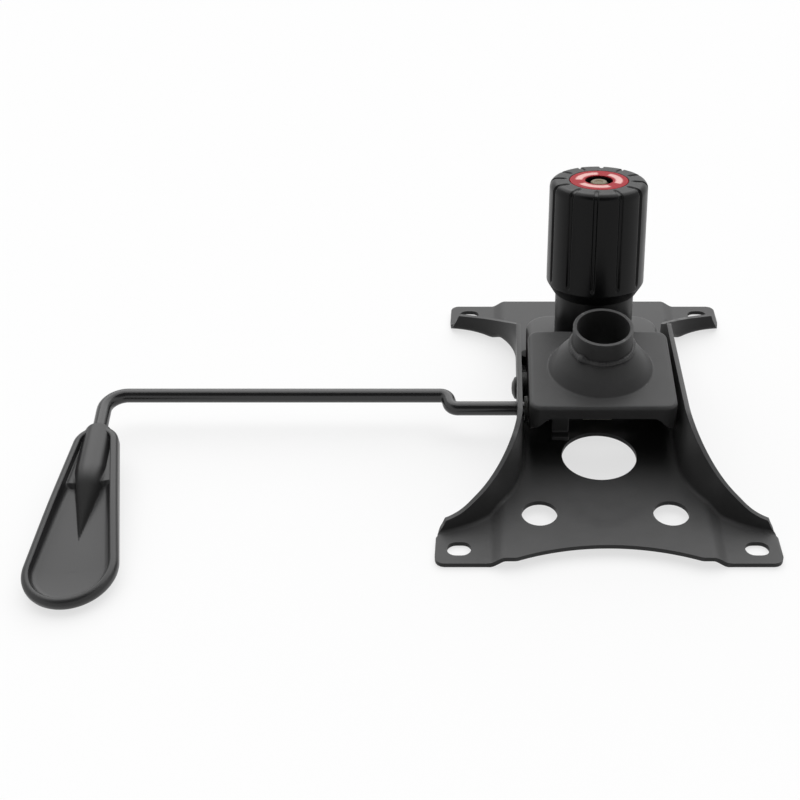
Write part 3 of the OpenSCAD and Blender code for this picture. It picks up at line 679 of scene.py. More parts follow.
@dataclass
class Workshop:
    """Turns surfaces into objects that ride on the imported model's bodies."""

    shop: FinishShop
    sharp_deg: float = 50.0

    def piece(
        self,
        name: str,
        surface: Surface,
        body: Body,
        finish: Finishes,
        nodes: Sequence[str],
        sheet: Optional[Sheet] = None,
    ) -> bpy.types.Object:
        """Make one piece, dress it and let it ride on its body.

        Args:
            name: Name of the piece.
            surface: Its surface in millimetres, in the shared frame.
            body: Body that it rides on.
            finish: Finish of the piece.
            nodes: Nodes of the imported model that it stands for.
            sheet: Thickness and edges of a sheet, None for a closed surface.

        Returns:
            The new object.
        """
        mesh = bpy.data.meshes.new(name)
        mesh.from_pydata((surface.points * MM).tolist(), [], surface.faces.tolist())
        mesh.uv_layers.new(name="flat").data.foreach_set("uv", surface.uv.reshape(-1).astype(np.float32))
        self._close(mesh, open_sheet=sheet is not None)
        mesh.polygons.foreach_set("use_smooth", np.ones(len(mesh.polygons), bool))
        mesh.materials.append(self.shop.material(finish))
        piece = bpy.data.objects.new(name, mesh)
        bpy.context.scene.collection.objects.link(piece)
        if sheet is not None:
            self._thicken(piece, sheet)
        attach(piece, body.value)
        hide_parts(*nodes)
        LOG.info("piece %s on %s: %d points", name, body.value, len(mesh.vertices))
        return piece

    @staticmethod
    def _close(mesh: bpy.types.Mesh, open_sheet: bool) -> None:
        """Merge seams and poles, drop unused points and turn the faces outwards, or a sheet's upwards."""
        work = bmesh.new()
        work.from_mesh(mesh)
        bmesh.ops.remove_doubles(work, verts=work.verts, dist=WELD_DISTANCE)
        loose = [v for v in work.verts if not v.link_faces]
        bmesh.ops.delete(work, geom=loose, context="VERTS")
        bmesh.ops.recalc_face_normals(work, faces=work.faces)
        if open_sheet and sum(f.normal.z * f.calc_area() for f in work.faces) < 0.0:
            bmesh.ops.reverse_faces(work, faces=work.faces)
        work.to_mesh(mesh)
        work.free()

    def _thicken(self, piece: bpy.types.Object, sheet: Sheet) -> None:
        """Give a surface the thickness of its sheet and round its cut edges."""
        solid = piece.modifiers.new("thickness", "SOLIDIFY")
        solid.thickness = sheet.thickness * MM
        solid.offset = sheet.offset
        solid.use_even_offset = True
        bevel = piece.modifiers.new("edges", "BEVEL")
        bevel.width = sheet.edge * MM
        bevel.segments = 3
        bevel.limit_method = "ANGLE"
        bevel.angle_limit = np.radians(self.sharp_deg)
        bevel.harden_normals = True

    def dress(self, **finishes: Finishes) -> None:
        """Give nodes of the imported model, by name, their materials."""
        for node, finish in finishes.items():
            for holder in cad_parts[node].material_slots:
                holder.material = self.shop.material(finish)
            LOG.info("node %s dressed as %s", node, finish.value.name)


@dataclass(frozen=True)
class Hole:
    """A round or long hole in a sheet, along the first of two coordinates."""

    centre: Pair
    radius: float
    straight: float = 0.0
    margin: float = 4.0
    ring: float = 0.9

    @property
    def half(self) -> float:
        """Half size of the square of grid lines that becomes the rim."""
        return self.ring * self.radius

    def lines(self) -> tuple[Pair, Pair]:
        """Grid lines that the hole needs in the first and the second coordinate."""
        a, b = self.centre
        long = self.straight + self.half
        return (a - long, a + long), (b - self.half, b + self.half)

    def level(self, a: np.ndarray, b: np.ndarray) -> np.ndarray:
        """Size of the rectangle round the hole that a point lies on; 1 is the rectangle of its lines."""
        off_a = np.abs(a - self.centre[0]) - self.straight
        return np.maximum(off_a, np.abs(b - self.centre[1])) / self.half

    def warp(self, a: np.ndarray, b: np.ndarray) -> tuple[np.ndarray, np.ndarray]:
        """Draw the rectangle of grid lines on to the rim; the move fades out over the margin.

        Args:
            a: First coordinates.
            b: Second coordinates.

        Returns:
            Warped coordinates.
        """
        level = self.level(a, b)
        fade = np.clip((level - 1.0) * self.half / self.margin, 0.0, 1.0)
        core = self.centre[0] + np.clip(a - self.centre[0], -self.straight, self.straight)
        da, db = a - core, b - self.centre[1]
        reach = self.radius * level / np.maximum(np.hypot(da, db), TINY)
        new_a = (core + da * reach) * (1.0 - fade) + a * fade
        new_b = (self.centre[1] + db * reach) * (1.0 - fade) + b * fade
        return np.where(fade < 1.0, new_a, a), np.where(fade < 1.0, new_b, b)


@dataclass
class SeatPlate:
    """Hourglass plate with raised web, corner pads and bent side flanges, and the tilt pivot in it."""

    half_x: float = 87.0
    half_y: float = 120.5
    corner_r: float = 5.0
    sheet_t: float = 2.5
    edge: float = 0.55
    web_rise: float = 4.0
    web_half: float = 52.5
    ramp_run: float = 6.0
    ramp_soft: float = 1.1
    waist_x: float = 45.0
    rear_arc_r: float = 50.0
    front_arc_r: float = 45.0
    rear_pad_y: float = -96.1
    front_pad_y: float = 94.5
    bend_r: float = 3.25
    flange_h: float = 45.0
    rear_flange_h: float = 10.0
    front_flange_h: float = 12.0
    front_power: float = 1.3
    flange_corner: float = 33.5
    scoop: float = 9.0
    scoop_half: float = 46.0
    scoop_start: float = -100.4
    rear_slant: float = 0.12
    front_slant: float = 0.08
    slant_run: float = 9.0
    emboss_depth: float = 0.8
    emboss_half: float = 22.0
    emboss_slope: Pair = (-7.0, 2.0)
    emboss_y: float = -76.0
    emboss_end: float = -67.0
    emboss_fade: float = 12.0
    still_half: Pair = (46.4, 26.0)
    still_change: Pair = (-75.6, -66.0)
    row_step: float = 2.0
    column_step: float = 1.6
    wall_step: float = 0.06
    fine_rows: int = 40001
    steepest: float = 0.2
    large_hole: Hole = Hole((0.0, -41.0), 20.5, margin=5.0)
    small_holes: tuple[Hole, ...] = (Hole((34.0, -88.0), 9.3), Hole((-34.0, -88.0), 9.3))
    slots: tuple[Hole, ...] = tuple(
        Hole((x, y), 4.75, straight=1.5, margin=1.8) for x in (-75.0, 75.0) for y in (-110.0, 110.0)
    )
    rod_slot: Hole = Hole((17.66, -15.78), 5.2, straight=2.34, margin=2.0)
    axle_corners: Corners = (
        (0.0, -48.0, 0.0), (3.2, -47.7, 2.0), (6.3, -46.2, 1.2), (6.5, -45.1, 0.0), (5.0, -45.0, 0.0),
        (5.0, 47.4, 0.6), (4.2, 48.0, 0.3), (0.0, 48.0, 0.0))
    ring_corners: Corners = (
        (5.05, 45.05, 0.2), (8.0, 45.05, 0.4), (8.0, 46.2, 0.6), (6.4, 46.9, 0.8), (5.05, 46.9, 0.3))

    def __post_init__(self) -> None:
        """Work out the centres of the side arcs and the line where the flanges start to bend."""
        self.inset = self.bend_r + self.sheet_t / 2.0
        self.rear_arc_x = self.waist_x + self.rear_arc_r
        self.front_arc_x = self.waist_x + self.front_arc_r
        rear_dy = circle_height(self.rear_arc_r, self.rear_arc_x - self.half_x)
        front_dy = circle_height(self.front_arc_r, self.front_arc_x - self.half_x)
        self.rear_arc_y = self.rear_pad_y + rear_dy
        self.front_arc_y = self.front_pad_y - front_dy
        self.rear_end = self.rear_pad_y - self.inset * rear_dy / self.rear_arc_r
        self.front_end = self.front_pad_y + self.inset * front_dy / self.front_arc_r

    def by_part(self, y: np.ndarray, rear: np.ndarray, front: np.ndarray, waist: np.ndarray) -> np.ndarray:
        """Choose between values for the rear arc, the front arc and the straight waist."""
        return np.where(y < self.rear_arc_y, rear, np.where(y > self.front_arc_y, front, waist))

    def bend_line(self, y: np.ndarray) -> np.ndarray:
        """Half width of the flat sheet at Y: pad edge, then circles and a straight inside the outline."""
        rear = self.rear_arc_x - circle_height(self.rear_arc_r + self.inset, y - self.rear_arc_y)
        front = self.front_arc_x - circle_height(self.front_arc_r + self.inset, y - self.front_arc_y)
        into_corner = np.maximum(np.abs(y) - (self.half_y - self.corner_r), 0.0)
        pad = self.half_x - self.corner_r + circle_height(self.corner_r, into_corner)
        width = self.by_part(y, rear, front, self.waist_x - self.inset)
        return np.where((y < self.rear_end - CLOSE) | (y > self.front_end + CLOSE), pad, width)

    def outward(self, y: np.ndarray) -> np.ndarray:
        """Outward unit vector of the right flange: toward the arc's centre, or straight out at the waist."""
        x = self.bend_line(y)
        rear = np.stack([self.rear_arc_x - x, self.rear_arc_y - y], -1)
        front = np.stack([self.front_arc_x - x, self.front_arc_y - y], -1)
        return unit(self.by_part(y[..., None], rear, front, np.array([1.0, 0.0])))

    def sheet_height(self, x: np.ndarray, y: np.ndarray) -> np.ndarray:
        """Middle of the sheet: web, soft ramps down to the pads and the shallow pressed U.

        Args:
            x: Places across the chair.
            y: Places along the chair.

        Returns:
            Heights.
        """
        ramp = self.web_half + self.ramp_run - np.abs(x)
        low, middle, high = (
            np.clip((ramp + e) / self.ramp_run, 0.0, 1.0) for e in (-self.ramp_soft, 0.0, self.ramp_soft))
        web = self.web_rise * (low + 2.0 * middle + high) / 4.0
        outside = np.hypot(x, np.minimum(y - self.emboss_y, 0.0)) - self.emboss_half
        pressed = 1.0 - smooth_step(outside, *self.emboss_slope)
        behind = 1.0 - smooth_step(y, self.emboss_end - self.emboss_fade, self.emboss_end)
        return self.sheet_t / 2.0 + web - self.emboss_depth * pressed * behind

    def rows(self) -> np.ndarray:
        """Places of the grid rows: every needed line, and even steps along the bend line between them."""
        holes = (self.large_hole, self.small_holes[0], self.rod_slot, *self.slots[:2])
        needed = [-self.half_y, self.rear_end, self.rear_arc_y, self.flange_corner, self.front_arc_y,
                  self.front_end, self.half_y, *(line for hole in holes for line in hole.lines()[1])]
        needed.sort()
        fine_y = np.linspace(-self.half_y, self.half_y, self.fine_rows)
        aside = np.clip(np.diff(self.bend_line(fine_y)), -self.steepest, self.steepest)
        along = np.concatenate([[0.0], np.cumsum(np.hypot(np.diff(fine_y), aside))])
        marks = np.interp(needed, fine_y, along)
        filled = np.interp(stations(marks.tolist(), self.row_step, 3), along, fine_y)
        nearest = np.abs(filled[:, None] - np.array(needed)[None]).argmin(0)
        filled[nearest] = needed
        return filled

    def columns(self) -> np.ndarray:
        """Places of the grid columns across the flat plate, before the sides are drawn in."""
        ramp_ends = (self.web_half - self.ramp_soft, self.web_half + self.ramp_run + self.ramp_soft)
        half = [0.0, self.large_hole.lines()[0][1], *self.small_holes[0].lines()[0], *ramp_ends,
                *self.slots[2].lines()[0], self.half_x]
        right = stations(half, self.column_step, 3)
        return np.concatenate([-right[:0:-1], right])

    def flat_part(self, rows: np.ndarray) -> Surface:
        """Pads and web: a grid drawn in to the bend line, scooped at the rear and pierced.

        Args:
            rows: Places of the grid rows.

        Returns:
            The surface of the flat part.
        """
        y, x = np.meshgrid(rows, self.columns(), indexing="ij")
        rear, front = self.still_half
        start = (rear + (front - rear) * smooth_step(rows, *self.still_change))[:, None]
        edge = self.bend_line(rows)[:, None]
        wide = np.abs(x)
        drawn = start + (wide - start) * (edge - start) / (self.half_x - start)
        flat_x, flat_y = np.sign(x) * np.where(wide > start, drawn, wide), y
        level = np.full(x.shape, np.inf)
        for hole in (self.large_hole, *self.small_holes, *self.slots):
            level = np.minimum(level, hole.level(x, y))
            flat_x, flat_y = hole.warp(flat_x, flat_y)
        radius = (self.scoop_half**2 + self.scoop**2) / (2.0 * self.scoop)
        inward = self.scoop - radius + circle_height(radius, flat_x)
        fade = np.clip((self.scoop_start - flat_y) / (self.half_y + self.scoop_start), 0.0, 1.0)
        flat_y = flat_y + np.maximum(inward, 0.0) * fade
        points = np.stack([flat_x, flat_y, self.sheet_height(flat_x, flat_y)], -1)
        return Surface.grid(points, keep=cell_middles(level) > 1.0)

    def flange_top(self, y: np.ndarray) -> np.ndarray:
        """Upper edge of a flange at Y of its outer face: a sine, a level run and a power curve."""
        rear = np.clip((y - self.rear_pad_y) / (self.rear_arc_y - self.rear_pad_y), 0.0, 1.0)
        front = np.clip((self.front_pad_y - y) / (self.front_pad_y - self.flange_corner), 0.0, 1.0)
        rise = self.rear_flange_h + (self.flange_h - self.rear_flange_h) * np.sin(QUARTER * rear)
        fall = self.front_flange_h + (self.flange_h - self.front_flange_h) * front**self.front_power
        return np.minimum(rise, fall)

    def flange(self, rows: np.ndarray, side: float) -> Surface:
        """One flange: a bend of a quarter turn carried along the bend line, then the upright wall.

        Args:
            rows: Places of the grid rows.
            side: 1 for the right flange, -1 for the left, which has the slot for the lever rod.

        Returns:
            The surface of the flange.
        """
        y = rows[(rows >= self.rear_end - CLOSE) & (rows <= self.front_end + CLOSE)][:, None]
        base = self.sheet_height(self.bend_line(y), y)
        turn = np.linspace(0.0, QUARTER, 7)[None]
        bend_out = self.bend_r * np.sin(turn) + 0.0 * base
        bend_z = base + self.bend_r * (1.0 - np.cos(turn))
        foot = base + self.bend_r
        waist_foot = self.sheet_t / 2.0 + self.web_rise + self.bend_r
        lines = (np.array(self.rod_slot.lines()[0]) - waist_foot) / (self.flange_h - waist_foot)
        share = stations([0.0, *lines.tolist(), 1.0], self.wall_step, 2)[None, 1:]
        top = self.flange_top(y + self.outward(y)[..., 1] * self.inset)
        wall_z = foot + (top - foot) * share
        out = np.concatenate([bend_out, np.full(wall_z.shape, self.bend_r)], 1)
        z = np.concatenate([bend_z, wall_z], 1)
        cut_y = y + self.end_slant(y, z - base)
        x, way = self.bend_line(cut_y), self.outward(cut_y)
        along = cut_y + way[..., 1] * out
        keep = None
        if side < 0.0:
            keep = cell_middles(self.rod_slot.level(z, y + 0.0 * z)) > 1.0
            z, along = self.rod_slot.warp(z, along)
        points = np.stack([side * (x + way[..., 0] * out), along, z], -1)
        return Surface.grid(points, keep=keep)

    def end_slant(self, y: np.ndarray, height: np.ndarray) -> np.ndarray:
        """Move in Y that slants a flange's ends: it grows with the height above the bend, fading inwards."""
        rear = 1.0 - smooth_step(y, self.rear_end, self.rear_end + self.slant_run)
        front = 1.0 - smooth_step(-y, -self.front_end, -self.front_end + self.slant_run)
        return height * (self.rear_slant * rear - self.front_slant * front)

    def axle(self) -> Surface:
        """Axle along X with a domed head on the left: a profile turned round X."""
        profile = refine(round_corners(self.axle_corners), 2.0)
        return turned(PIVOT_PLACE, profile, 48, round_x=True)

    def retaining_ring(self) -> Surface:
        """Pressed ring on the axle's right end: a closed profile turned round X."""
        profile = round_corners(self.ring_corners, closed=True)
        return turned(PIVOT_PLACE, profile, 64, closed=True, round_x=True)

    def build(self, work: Workshop) -> None:
        """Make the plate and the pivot's visible ends, and dress the hidden nodes."""
        rows = self.rows()
        sheet = Surface.join(self.flat_part(rows), self.flange(rows, 1.0), self.flange(rows, -1.0))
        work.piece("seat_plate_sheet", sheet, Body.PLATE, Finishes.PLATE_COAT, ["seat_plate"],
                   Sheet(self.sheet_t, 0.0, self.edge))
        work.piece("pivot_rivet", self.axle(), Body.PLATE, Finishes.AXLE, ["pivot_axle"])
        work.piece("pivot_ring", self.retaining_ring(), Body.PLATE, Finishes.STEEL, ["axle_ring"])
        work.dress(anchor_bracket=Finishes.COAT, rest_bumpers=Finishes.RUBBER)


@dataclass
class Housing:
    """Pressed box with its dome, lip and lower deck, the gas lift socket and the inner tab."""

    half_x: float = 39.0
    rear: float = -55.0
    front: float = 9.5
    top: float = 35.0
    sheet_t: float = 2.5
    edge: float = 0.5
    corner_r: float = 6.0
    side_edge_r: float = 2.3
    end_edge_r: float = 2.0
    edge_power: int = 6
    rear_facing: float = -0.5
    lip_h: float = 8.0
    lip_half: float = 27.0
    lip_inset: float = 1.5
    wall_rear_h: float = 15.5
    taper_y: float = -30.0
    taper_z: float = -0.37
    drop: float = 10.0
    dome_foot_r: float = 28.0
    dome_foot_x: float = 30.0
    dome_foot_y: float = 26.8
    dome_top: float = 50.5
    dome_dip: float = 0.2
    dome_lap: float = 0.8
    dome_waist: Point = (5.0, 6.4, 12.0)
    dome_toe: Pair = (1.4, 1.2)
    socket_bore_r: float = 14.0
    socket_r: float = 16.0
    socket_low: float = 11.31
    socket_high: float = 62.5
    weld_r: float = 1.55
    weld_out: float = 0.35
    weld_down: float = 0.15
    weld_squash: float = 0.95
    weld_scales: Pair = (0.16, 31.0)
    weld_slow: Point = (0.12, 7.0, 0.6)
    weld_fast: Pair = (0.08, 13.0)
    weld_start: Point = (0.9, 3.98, 0.16)
    weld_start_lift: float = 0.3
    deck_top: float = 16.0
    deck_end: float = 25.0
    deck_start: float = -22.0
    deck_low: float = -5.0
    deck_corner_r: float = 15.0
    deck_edge_r: float = 3.5
    bolt_hole_r: float = 7.2
    tab_y: float = -45.75
    tab_foot_y: float = -51.0
    tab_drop: float = 23.75
    tab_bend_r: float = 2.4
    tab_x: Pair = (-26.5, -17.5)
    tab_gap: float = 0.1
    tab_edge: float = 0.4

    def box(self) -> Surface:
        """Box: rings that start at the dome's rim, widen from a circle to a rounded rectangle and turn down.

        Returns:
            The outer surface of the box.
        """
        line, normal = box_outline(self.half_x, (self.rear, self.corner_r), (self.front, self.corner_r), 1.6)
        sideways = np.abs(normal[:, 0]) ** self.edge_power
        edge_r = self.end_edge_r + (self.side_edge_r - self.end_edge_r) * sideways
        way = unit(line - SOCKET_MIDDLE)
        waist_in, waist_h, waist_r = self.dome_waist
        toe_in, toe_r = self.dome_toe
        dome = refine(round_corners([
            (self.socket_r + self.dome_lap, self.dome_top - self.dome_dip, 0.0),
            (self.dome_foot_r - waist_in, self.top + waist_h, waist_r),
            (self.dome_foot_r - toe_in, self.top, toe_r), (self.dome_foot_r, self.top, 0.0),
        ], steps=8), 1.4)
        foot_r = 1.0 / np.hypot(way[:, 0] / self.dome_foot_x, way[:, 1] / self.dome_foot_y)
        spread = (foot_r - dome[0, 0]) / (self.dome_foot_r - dome[0, 0])
        reach = dome[0, 0] + (dome[:, :1] - dome[0, 0]) * spread
        rings = reach[..., None] * way + SOCKET_MIDDLE
        low = self.lower_edge(line, normal)
        rest = pressed_rings(rings[-1], (line, normal), edge_r, self.top, low, (8, 8, 16))
        whole = np.concatenate([lifted(rings, dome[:, 1:]), rest])
        return Surface.grid(HOUSING_PLACE.put(whole), wrap_cols=True)

    def lower_edge(self, line: np.ndarray, normal: np.ndarray) -> np.ndarray:
        """Lower edge of the box: side walls that taper to the rear and a lip over the rear mouth.

        Args:
            line: Outline of the box.
            normal: Its outward normals.

        Returns:
            Height of the lower edge at each point.
        """
        rear_low = self.top - self.wall_rear_h
        side = np.interp(line[:, 1], [self.rear, self.taper_y, 0.0, self.front],
                         [rear_low, self.taper_z, -self.drop, -self.drop])
        into_corner = smooth_step(np.abs(line[:, 0]), self.lip_half, self.half_x - self.lip_inset)
        lip = self.top - self.lip_h - (self.wall_rear_h - self.lip_h) * into_corner
        side = np.where(line[:, 1] < self.rear + self.corner_r, np.minimum(side, rear_low), side)
        return np.where(normal[:, 1] < self.rear_facing, lip, side)

    def deck(self) -> Surface:
        """Deck: rings that widen from the bolt hole to a rounded rectangle, round its edge and drop."""
        outline = box_outline(
            self.half_x, (self.deck_start, self.corner_r), (self.deck_end, self.deck_corner_r), 2.0)
        edge_r = np.full(len(outline[0]), self.deck_edge_r)
        hole = unit(outline[0] - outline[1] * self.deck_edge_r) * self.bolt_hole_r
        rest = pressed_rings(hole, outline, edge_r, self.deck_top, self.deck_low, (12, 7, 6))
        rings = np.concatenate([lifted(hole, self.deck_top)[None], rest])
        return Surface.grid(BOLT_PLACE.put(rings), wrap_cols=True)

    def socket(self) -> Surface:
        """Socket tube: a closed ring profile with rounded corners, turned round the socket's axis."""
        corners = [(self.socket_bore_r, self.socket_low, 0.3), (self.socket_r, self.socket_low, 0.4),
                   (self.socket_r, self.socket_high, 0.3), (self.socket_bore_r, self.socket_high, 0.2)]
        return turned_ring(SOCKET_PLACE, corners, 3.0, 128)

    def weld(self) -> Surface:
        """Weld bead: a ring whose thickness runs in small overlapping waves, with one heavier end."""
        turn, section = around(240)[None], around(14)[:, None]
        scales = self.weld_scales[0] * np.abs(np.sin(self.weld_scales[1] * turn))
        slow = self.weld_slow[0] * np.sin(self.weld_slow[1] * turn + self.weld_slow[2])
        fast = self.weld_fast[0] * np.sin(self.weld_fast[1] * turn)
        start = self.weld_start[0] * np.exp(-(((turn - self.weld_start[1]) / self.weld_start[2]) ** 2))
        thick = self.weld_r + scales + slow + fast + start
        radius = self.socket_r + self.weld_out + thick * np.cos(section)
        middle = self.dome_top - self.weld_down + self.weld_start_lift * start
        height = middle + self.weld_squash * thick * np.sin(section)
        ring = polar(radius, turn, height)
        return Surface.grid(SOCKET_PLACE.put(ring), wrap_rows=True, wrap_cols=True)

    def tab(self) -> Surface:
        """Inner tab: a strip that hangs from the roof and turns its foot to the rear."""
        high = self.top - self.sheet_t
        low = high - self.tab_drop
        corners = [(self.tab_y, high - self.tab_gap, 0.0), (self.tab_y, low, self.tab_bend_r),
                   (self.tab_foot_y, low, 0.0)]
        path = refine(round_corners(corners, 8), 3.0)[:, None]
        across = np.linspace(*self.tab_x, 7)
        strip = np.stack(np.broadcast_arrays(across, path[..., 0], path[..., 1]), -1)
        return Surface.grid(HOUSING_PLACE.put(strip))

    def build(self, work: Workshop) -> None:
        """Make the box, deck, socket, weld and tab, and dress the hidden nodes."""
        shell = Sheet(self.sheet_t, -1.0, self.edge)
        strip = Sheet(self.sheet_t, 0.0, self.tab_edge)
        for name, surface, node, sheet in (
            ("housing_box", self.box(), "housing", shell),
            ("housing_deck", self.deck(), "housing", shell),
            ("socket_collar", self.socket(), "socket_tube", None),
            ("socket_weld_bead", self.weld(), "socket_weld", None),
            ("mouth_tab", self.tab(), "inner_tab", strip),
        ):
            work.piece(name, surface, Body.HOUSING, Finishes.COAT, [node], sheet)
        work.dress(pivot_tube=Finishes.COAT, pivot_bushes=Finishes.NYLON, rod_bushes=Finishes.GREY_NYLON)


@dataclass
class TensionUnit:
    """Spring, sleeve, bolt and knob, all along the leaning bolt."""

    deck: float = 16.0
    seat_gap: float = 0.02
    sleeve_r: float = 22.5
    sleeve_wall: float = 1.8
    sleeve_l: float = 54.0
    wire_r: float = 2.8
    coil_r: float = 16.5
    spring_low: float = 18.2
    spring_high: float = 91.7
    spring_turns: int = 7
    turn_steps: int = 36
    turn_gap: float = 0.5
    tilt_room: float = 6.4
    feed: float = 8.0
    knob_low: float = 44.0
    knob_h: float = 65.0
    knob_r: float = 27.8
    knob_end_r: float = 27.05
    draft: float = 0.05
    draft_start: float = 3.0
    chamfer: float = 6.5
    mouth_r: float = 23.2
    lip: float = 0.7
    edge_r: float = 4.0
    wall: float = 2.6
    hub_r: float = 12.8
    hub_low: float = 50.4
    bore_r: float = 5.6
    disc_r: float = 16.15
    disc_t: float = 0.8
    disc_gap: float = 0.3
    recess_r: float = 7.7
    recess_depth: float = 4.0
    bolt_r: float = 5.0
    bolt_sunk: float = 0.6
    thread_pitch: float = 1.5
    thread_depth: float = 0.42
    thread_start: float = 59.0
    thread_run_in: float = 3.0
    thread_run_out: float = 1.8
    bolt_bevel: float = 1.0
    bolt_cap: tuple[Pair, ...] = ((4.2, 0.2), (3.6, 0.0), (2.2, 0.0), (1.9, 0.5), (0.0, 0.7))
    head_r: float = 6.0
    head_half: float = 12.0
    head_edge_r: float = 0.8
    grooves: int = 12
    groove_phase: float = 0.75
    groove_half: float = 1.25
    groove_depth: float = 1.2
    groove_start: float = 10.5
    groove_inner: float = 3.2
    groove_margin: float = 0.5
    groove_facing: float = 0.2
    groove_end_h: float = 1.0
    groove_end_share: float = 0.65
    groove_columns: tuple[float, ...] = (0.5, 0.85, 1.1, 1.25, 1.5, 1.9)

    @property
    def knob_high(self) -> float:
        """Height of the knob's end."""
        return self.knob_low + self.knob_h

    @property
    def coil_high(self) -> float:
        """Top of the coil under the last turn, clear of that turn when the washer comes down at full tilt."""
        return self.spring_high - 2.0 * self.wire_r - self.tilt_room

    def sleeve(self) -> Surface:
        """Sleeve: a closed ring profile with rounded ends."""
        inner = self.sleeve_r - self.sleeve_wall
        low, high = self.deck + self.seat_gap, self.deck + self.sleeve_l
        corners = [(inner, low, 0.3), (self.sleeve_r, low, 0.5),
                   (self.sleeve_r, high, 0.7), (inner, high, 0.5)]
        return turned_ring(BOLT_PLACE, corners, 3.0, 112)

    def last_turn(self) -> Surface:
        """Last turn of the spring: the wire's circle turned round the bolt, right under the washer."""
        angle = around(14)
        height = self.spring_high - self.wire_r + self.wire_r * np.sin(angle)
        circle = np.stack([self.coil_r + self.wire_r * np.cos(angle), height], -1)
        return turned(BOLT_PLACE, circle, 48, closed=True)

    def spring(self) -> Surface:
        """Spring below its last turn: a round wire carried along a helix whose end turns lie close."""
        share = np.linspace(0.0, 1.0, self.spring_turns * self.turn_steps + 1)
        lift = self.coil_high - self.spring_low - 2.0 * self.wire_r
        close = 2.0 * self.wire_r + self.turn_gap
        end = 1.0 / self.spring_turns
        height = np.interp(share, [0.0, end, 1.0 - end, 1.0], [0.0, close, lift - close, lift])
        turn = 2.0 * np.pi * self.spring_turns * share
        out = polar(1.0, turn, 0.0)
        path = lifted(out * self.coil_r, self.spring_low + self.wire_r + height)
        return tube_along(BOLT_PLACE, path, out, np.full(len(path), self.wire_r), 14)

    def bolt(self) -> Surface:
        """Bolt: a shank with a thread, a wave that climbs one pitch a turn, and a cupped end."""
        end = self.knob_high - self.bolt_sunk
        start = self.thread_start
        plain = np.linspace(1.0, start - 1.0, 20)
        height = np.concatenate([[0.0], plain, np.linspace(start, end - self.bolt_bevel, 220)])
        turn = around(40)[None]
        phase = height[:, None] / self.thread_pitch - turn / (2.0 * np.pi)
        cut = self.thread_depth * np.abs(2.0 * (phase - np.floor(phase)) - 1.0)
        run_out = 1.0 - smooth_step(height, end - self.thread_run_out, end - self.bolt_bevel)
        thread = smooth_step(height, start, start + self.thread_run_in) * run_out
        cap = np.array(self.bolt_cap)
        shank = self.bolt_r - cut * thread[:, None]
        radius = np.concatenate([0.0 * turn, shank, cap[:, :1] + 0.0 * turn])
        level = np.concatenate([[0.0], height, end - cap[:, 1]])[:, None]
        return Surface.grid(BOLT_PLACE.put(polar(radius, turn, level)), wrap_cols=True)

    def cross_head(self) -> Surface:
        """Cross head of the bolt: a round bar along X with rounded end edges."""
        half = self.head_half
        corners = [(0.0, -half, 0.0), (self.head_r, -half, self.head_edge_r),
                   (self.head_r, half, self.head_edge_r), (0.0, half, 0.0)]
        return turned(BOLT_PLACE, refine(round_corners(corners), 3.0), 48, round_x=True)

    def knob_profile(self) -> np.ndarray:
        """Half section of the knob, from its mouth over the outside to the hub and back inside."""
        high = self.knob_h
        disc_low = high - self.disc_t
        floor = high - self.recess_depth
        roof = floor - self.wall
        corners = [
            (self.mouth_r, 0.0, 0.3), (self.mouth_r + self.lip, 0.0, 0.5), (self.knob_r, self.chamfer, 1.6),
            (self.knob_r - self.draft, self.groove_start + self.draft_start, 0.0),
            (self.knob_end_r, high, self.edge_r), (self.disc_r + self.disc_gap, high, 0.2),
            (self.disc_r + self.disc_gap, disc_low, 0.0), (self.recess_r, disc_low, 0.2),
            (self.recess_r, floor, 0.3), (self.bore_r, floor, 0.1), (self.bore_r, self.hub_low, 0.1),
            (self.hub_r, self.hub_low, 0.3), (self.hub_r, roof, 0.6),
            (self.knob_end_r - self.wall, roof, 0.8),
            (self.knob_r - self.wall, self.chamfer + self.wall, 0.4), (self.mouth_r, self.chamfer, 0.2)]
        return refine(round_corners(corners, steps=6, closed=True), 0.9, closed=True)

    def knob(self) -> Surface:
        """Knob: the half section turned round the bolt, pressed in along its grooves.

        A groove is a half-round channel up the side and in over the rounded end; its depth falls from
        the middle like a circle, and its lower end is round as well.

        Returns:
            The closed surface of the knob.
        """
        profile = self.knob_profile()
        tangent = unit(np.roll(profile, -1, axis=0) - np.roll(profile, 1, axis=0))
        normal_r, normal_z = tangent[:, 1:], -tangent[:, :1]
        half = np.array(self.groove_columns)
        pitch = 2.0 * np.pi * self.knob_r / self.grooves
        between = np.linspace(half[-1], pitch - half[-1], 9)[1:-1]
        across = np.concatenate([-half[::-1], [0.0], half, between])
        middles = 2.0 * np.pi * (np.arange(self.grooves)[:, None] + self.groove_phase) / self.grooves
        turn = (across[None] / self.knob_r + middles).reshape(-1)
        off_middle = np.tile(np.where(across > pitch / 2.0, pitch - across, np.abs(across)), self.grooves)
        radius, height = profile[:, :1], profile[:, 1:]
        below = np.maximum(self.groove_start - height, 0.0)
        inside = np.maximum(self.disc_r + self.groove_inner - radius, 0.0)
        margin = self.groove_margin
        on_side = (height >= self.chamfer + margin) & (radius > self.disc_r + margin)
        outer = on_side & (normal_r + normal_z > self.groove_facing)
        away = np.sqrt((off_middle[None] * radius / self.knob_r) ** 2 + below**2 + inside**2)
        level = np.clip(1.0 - (away / self.groove_half) ** 2, 0.0, 1.0)
        depth = self.groove_depth * np.sqrt(level) * outer
        depth = depth * np.where(height > self.knob_h - self.groove_end_h, self.groove_end_share, 1.0)
        new_r = radius - normal_r * depth
        new_z = height - normal_z * depth + self.knob_low
        grid = polar(new_r, turn, new_z)
        return Surface.grid(BOLT_PLACE.put(grid), wrap_rows=True, wrap_cols=True)

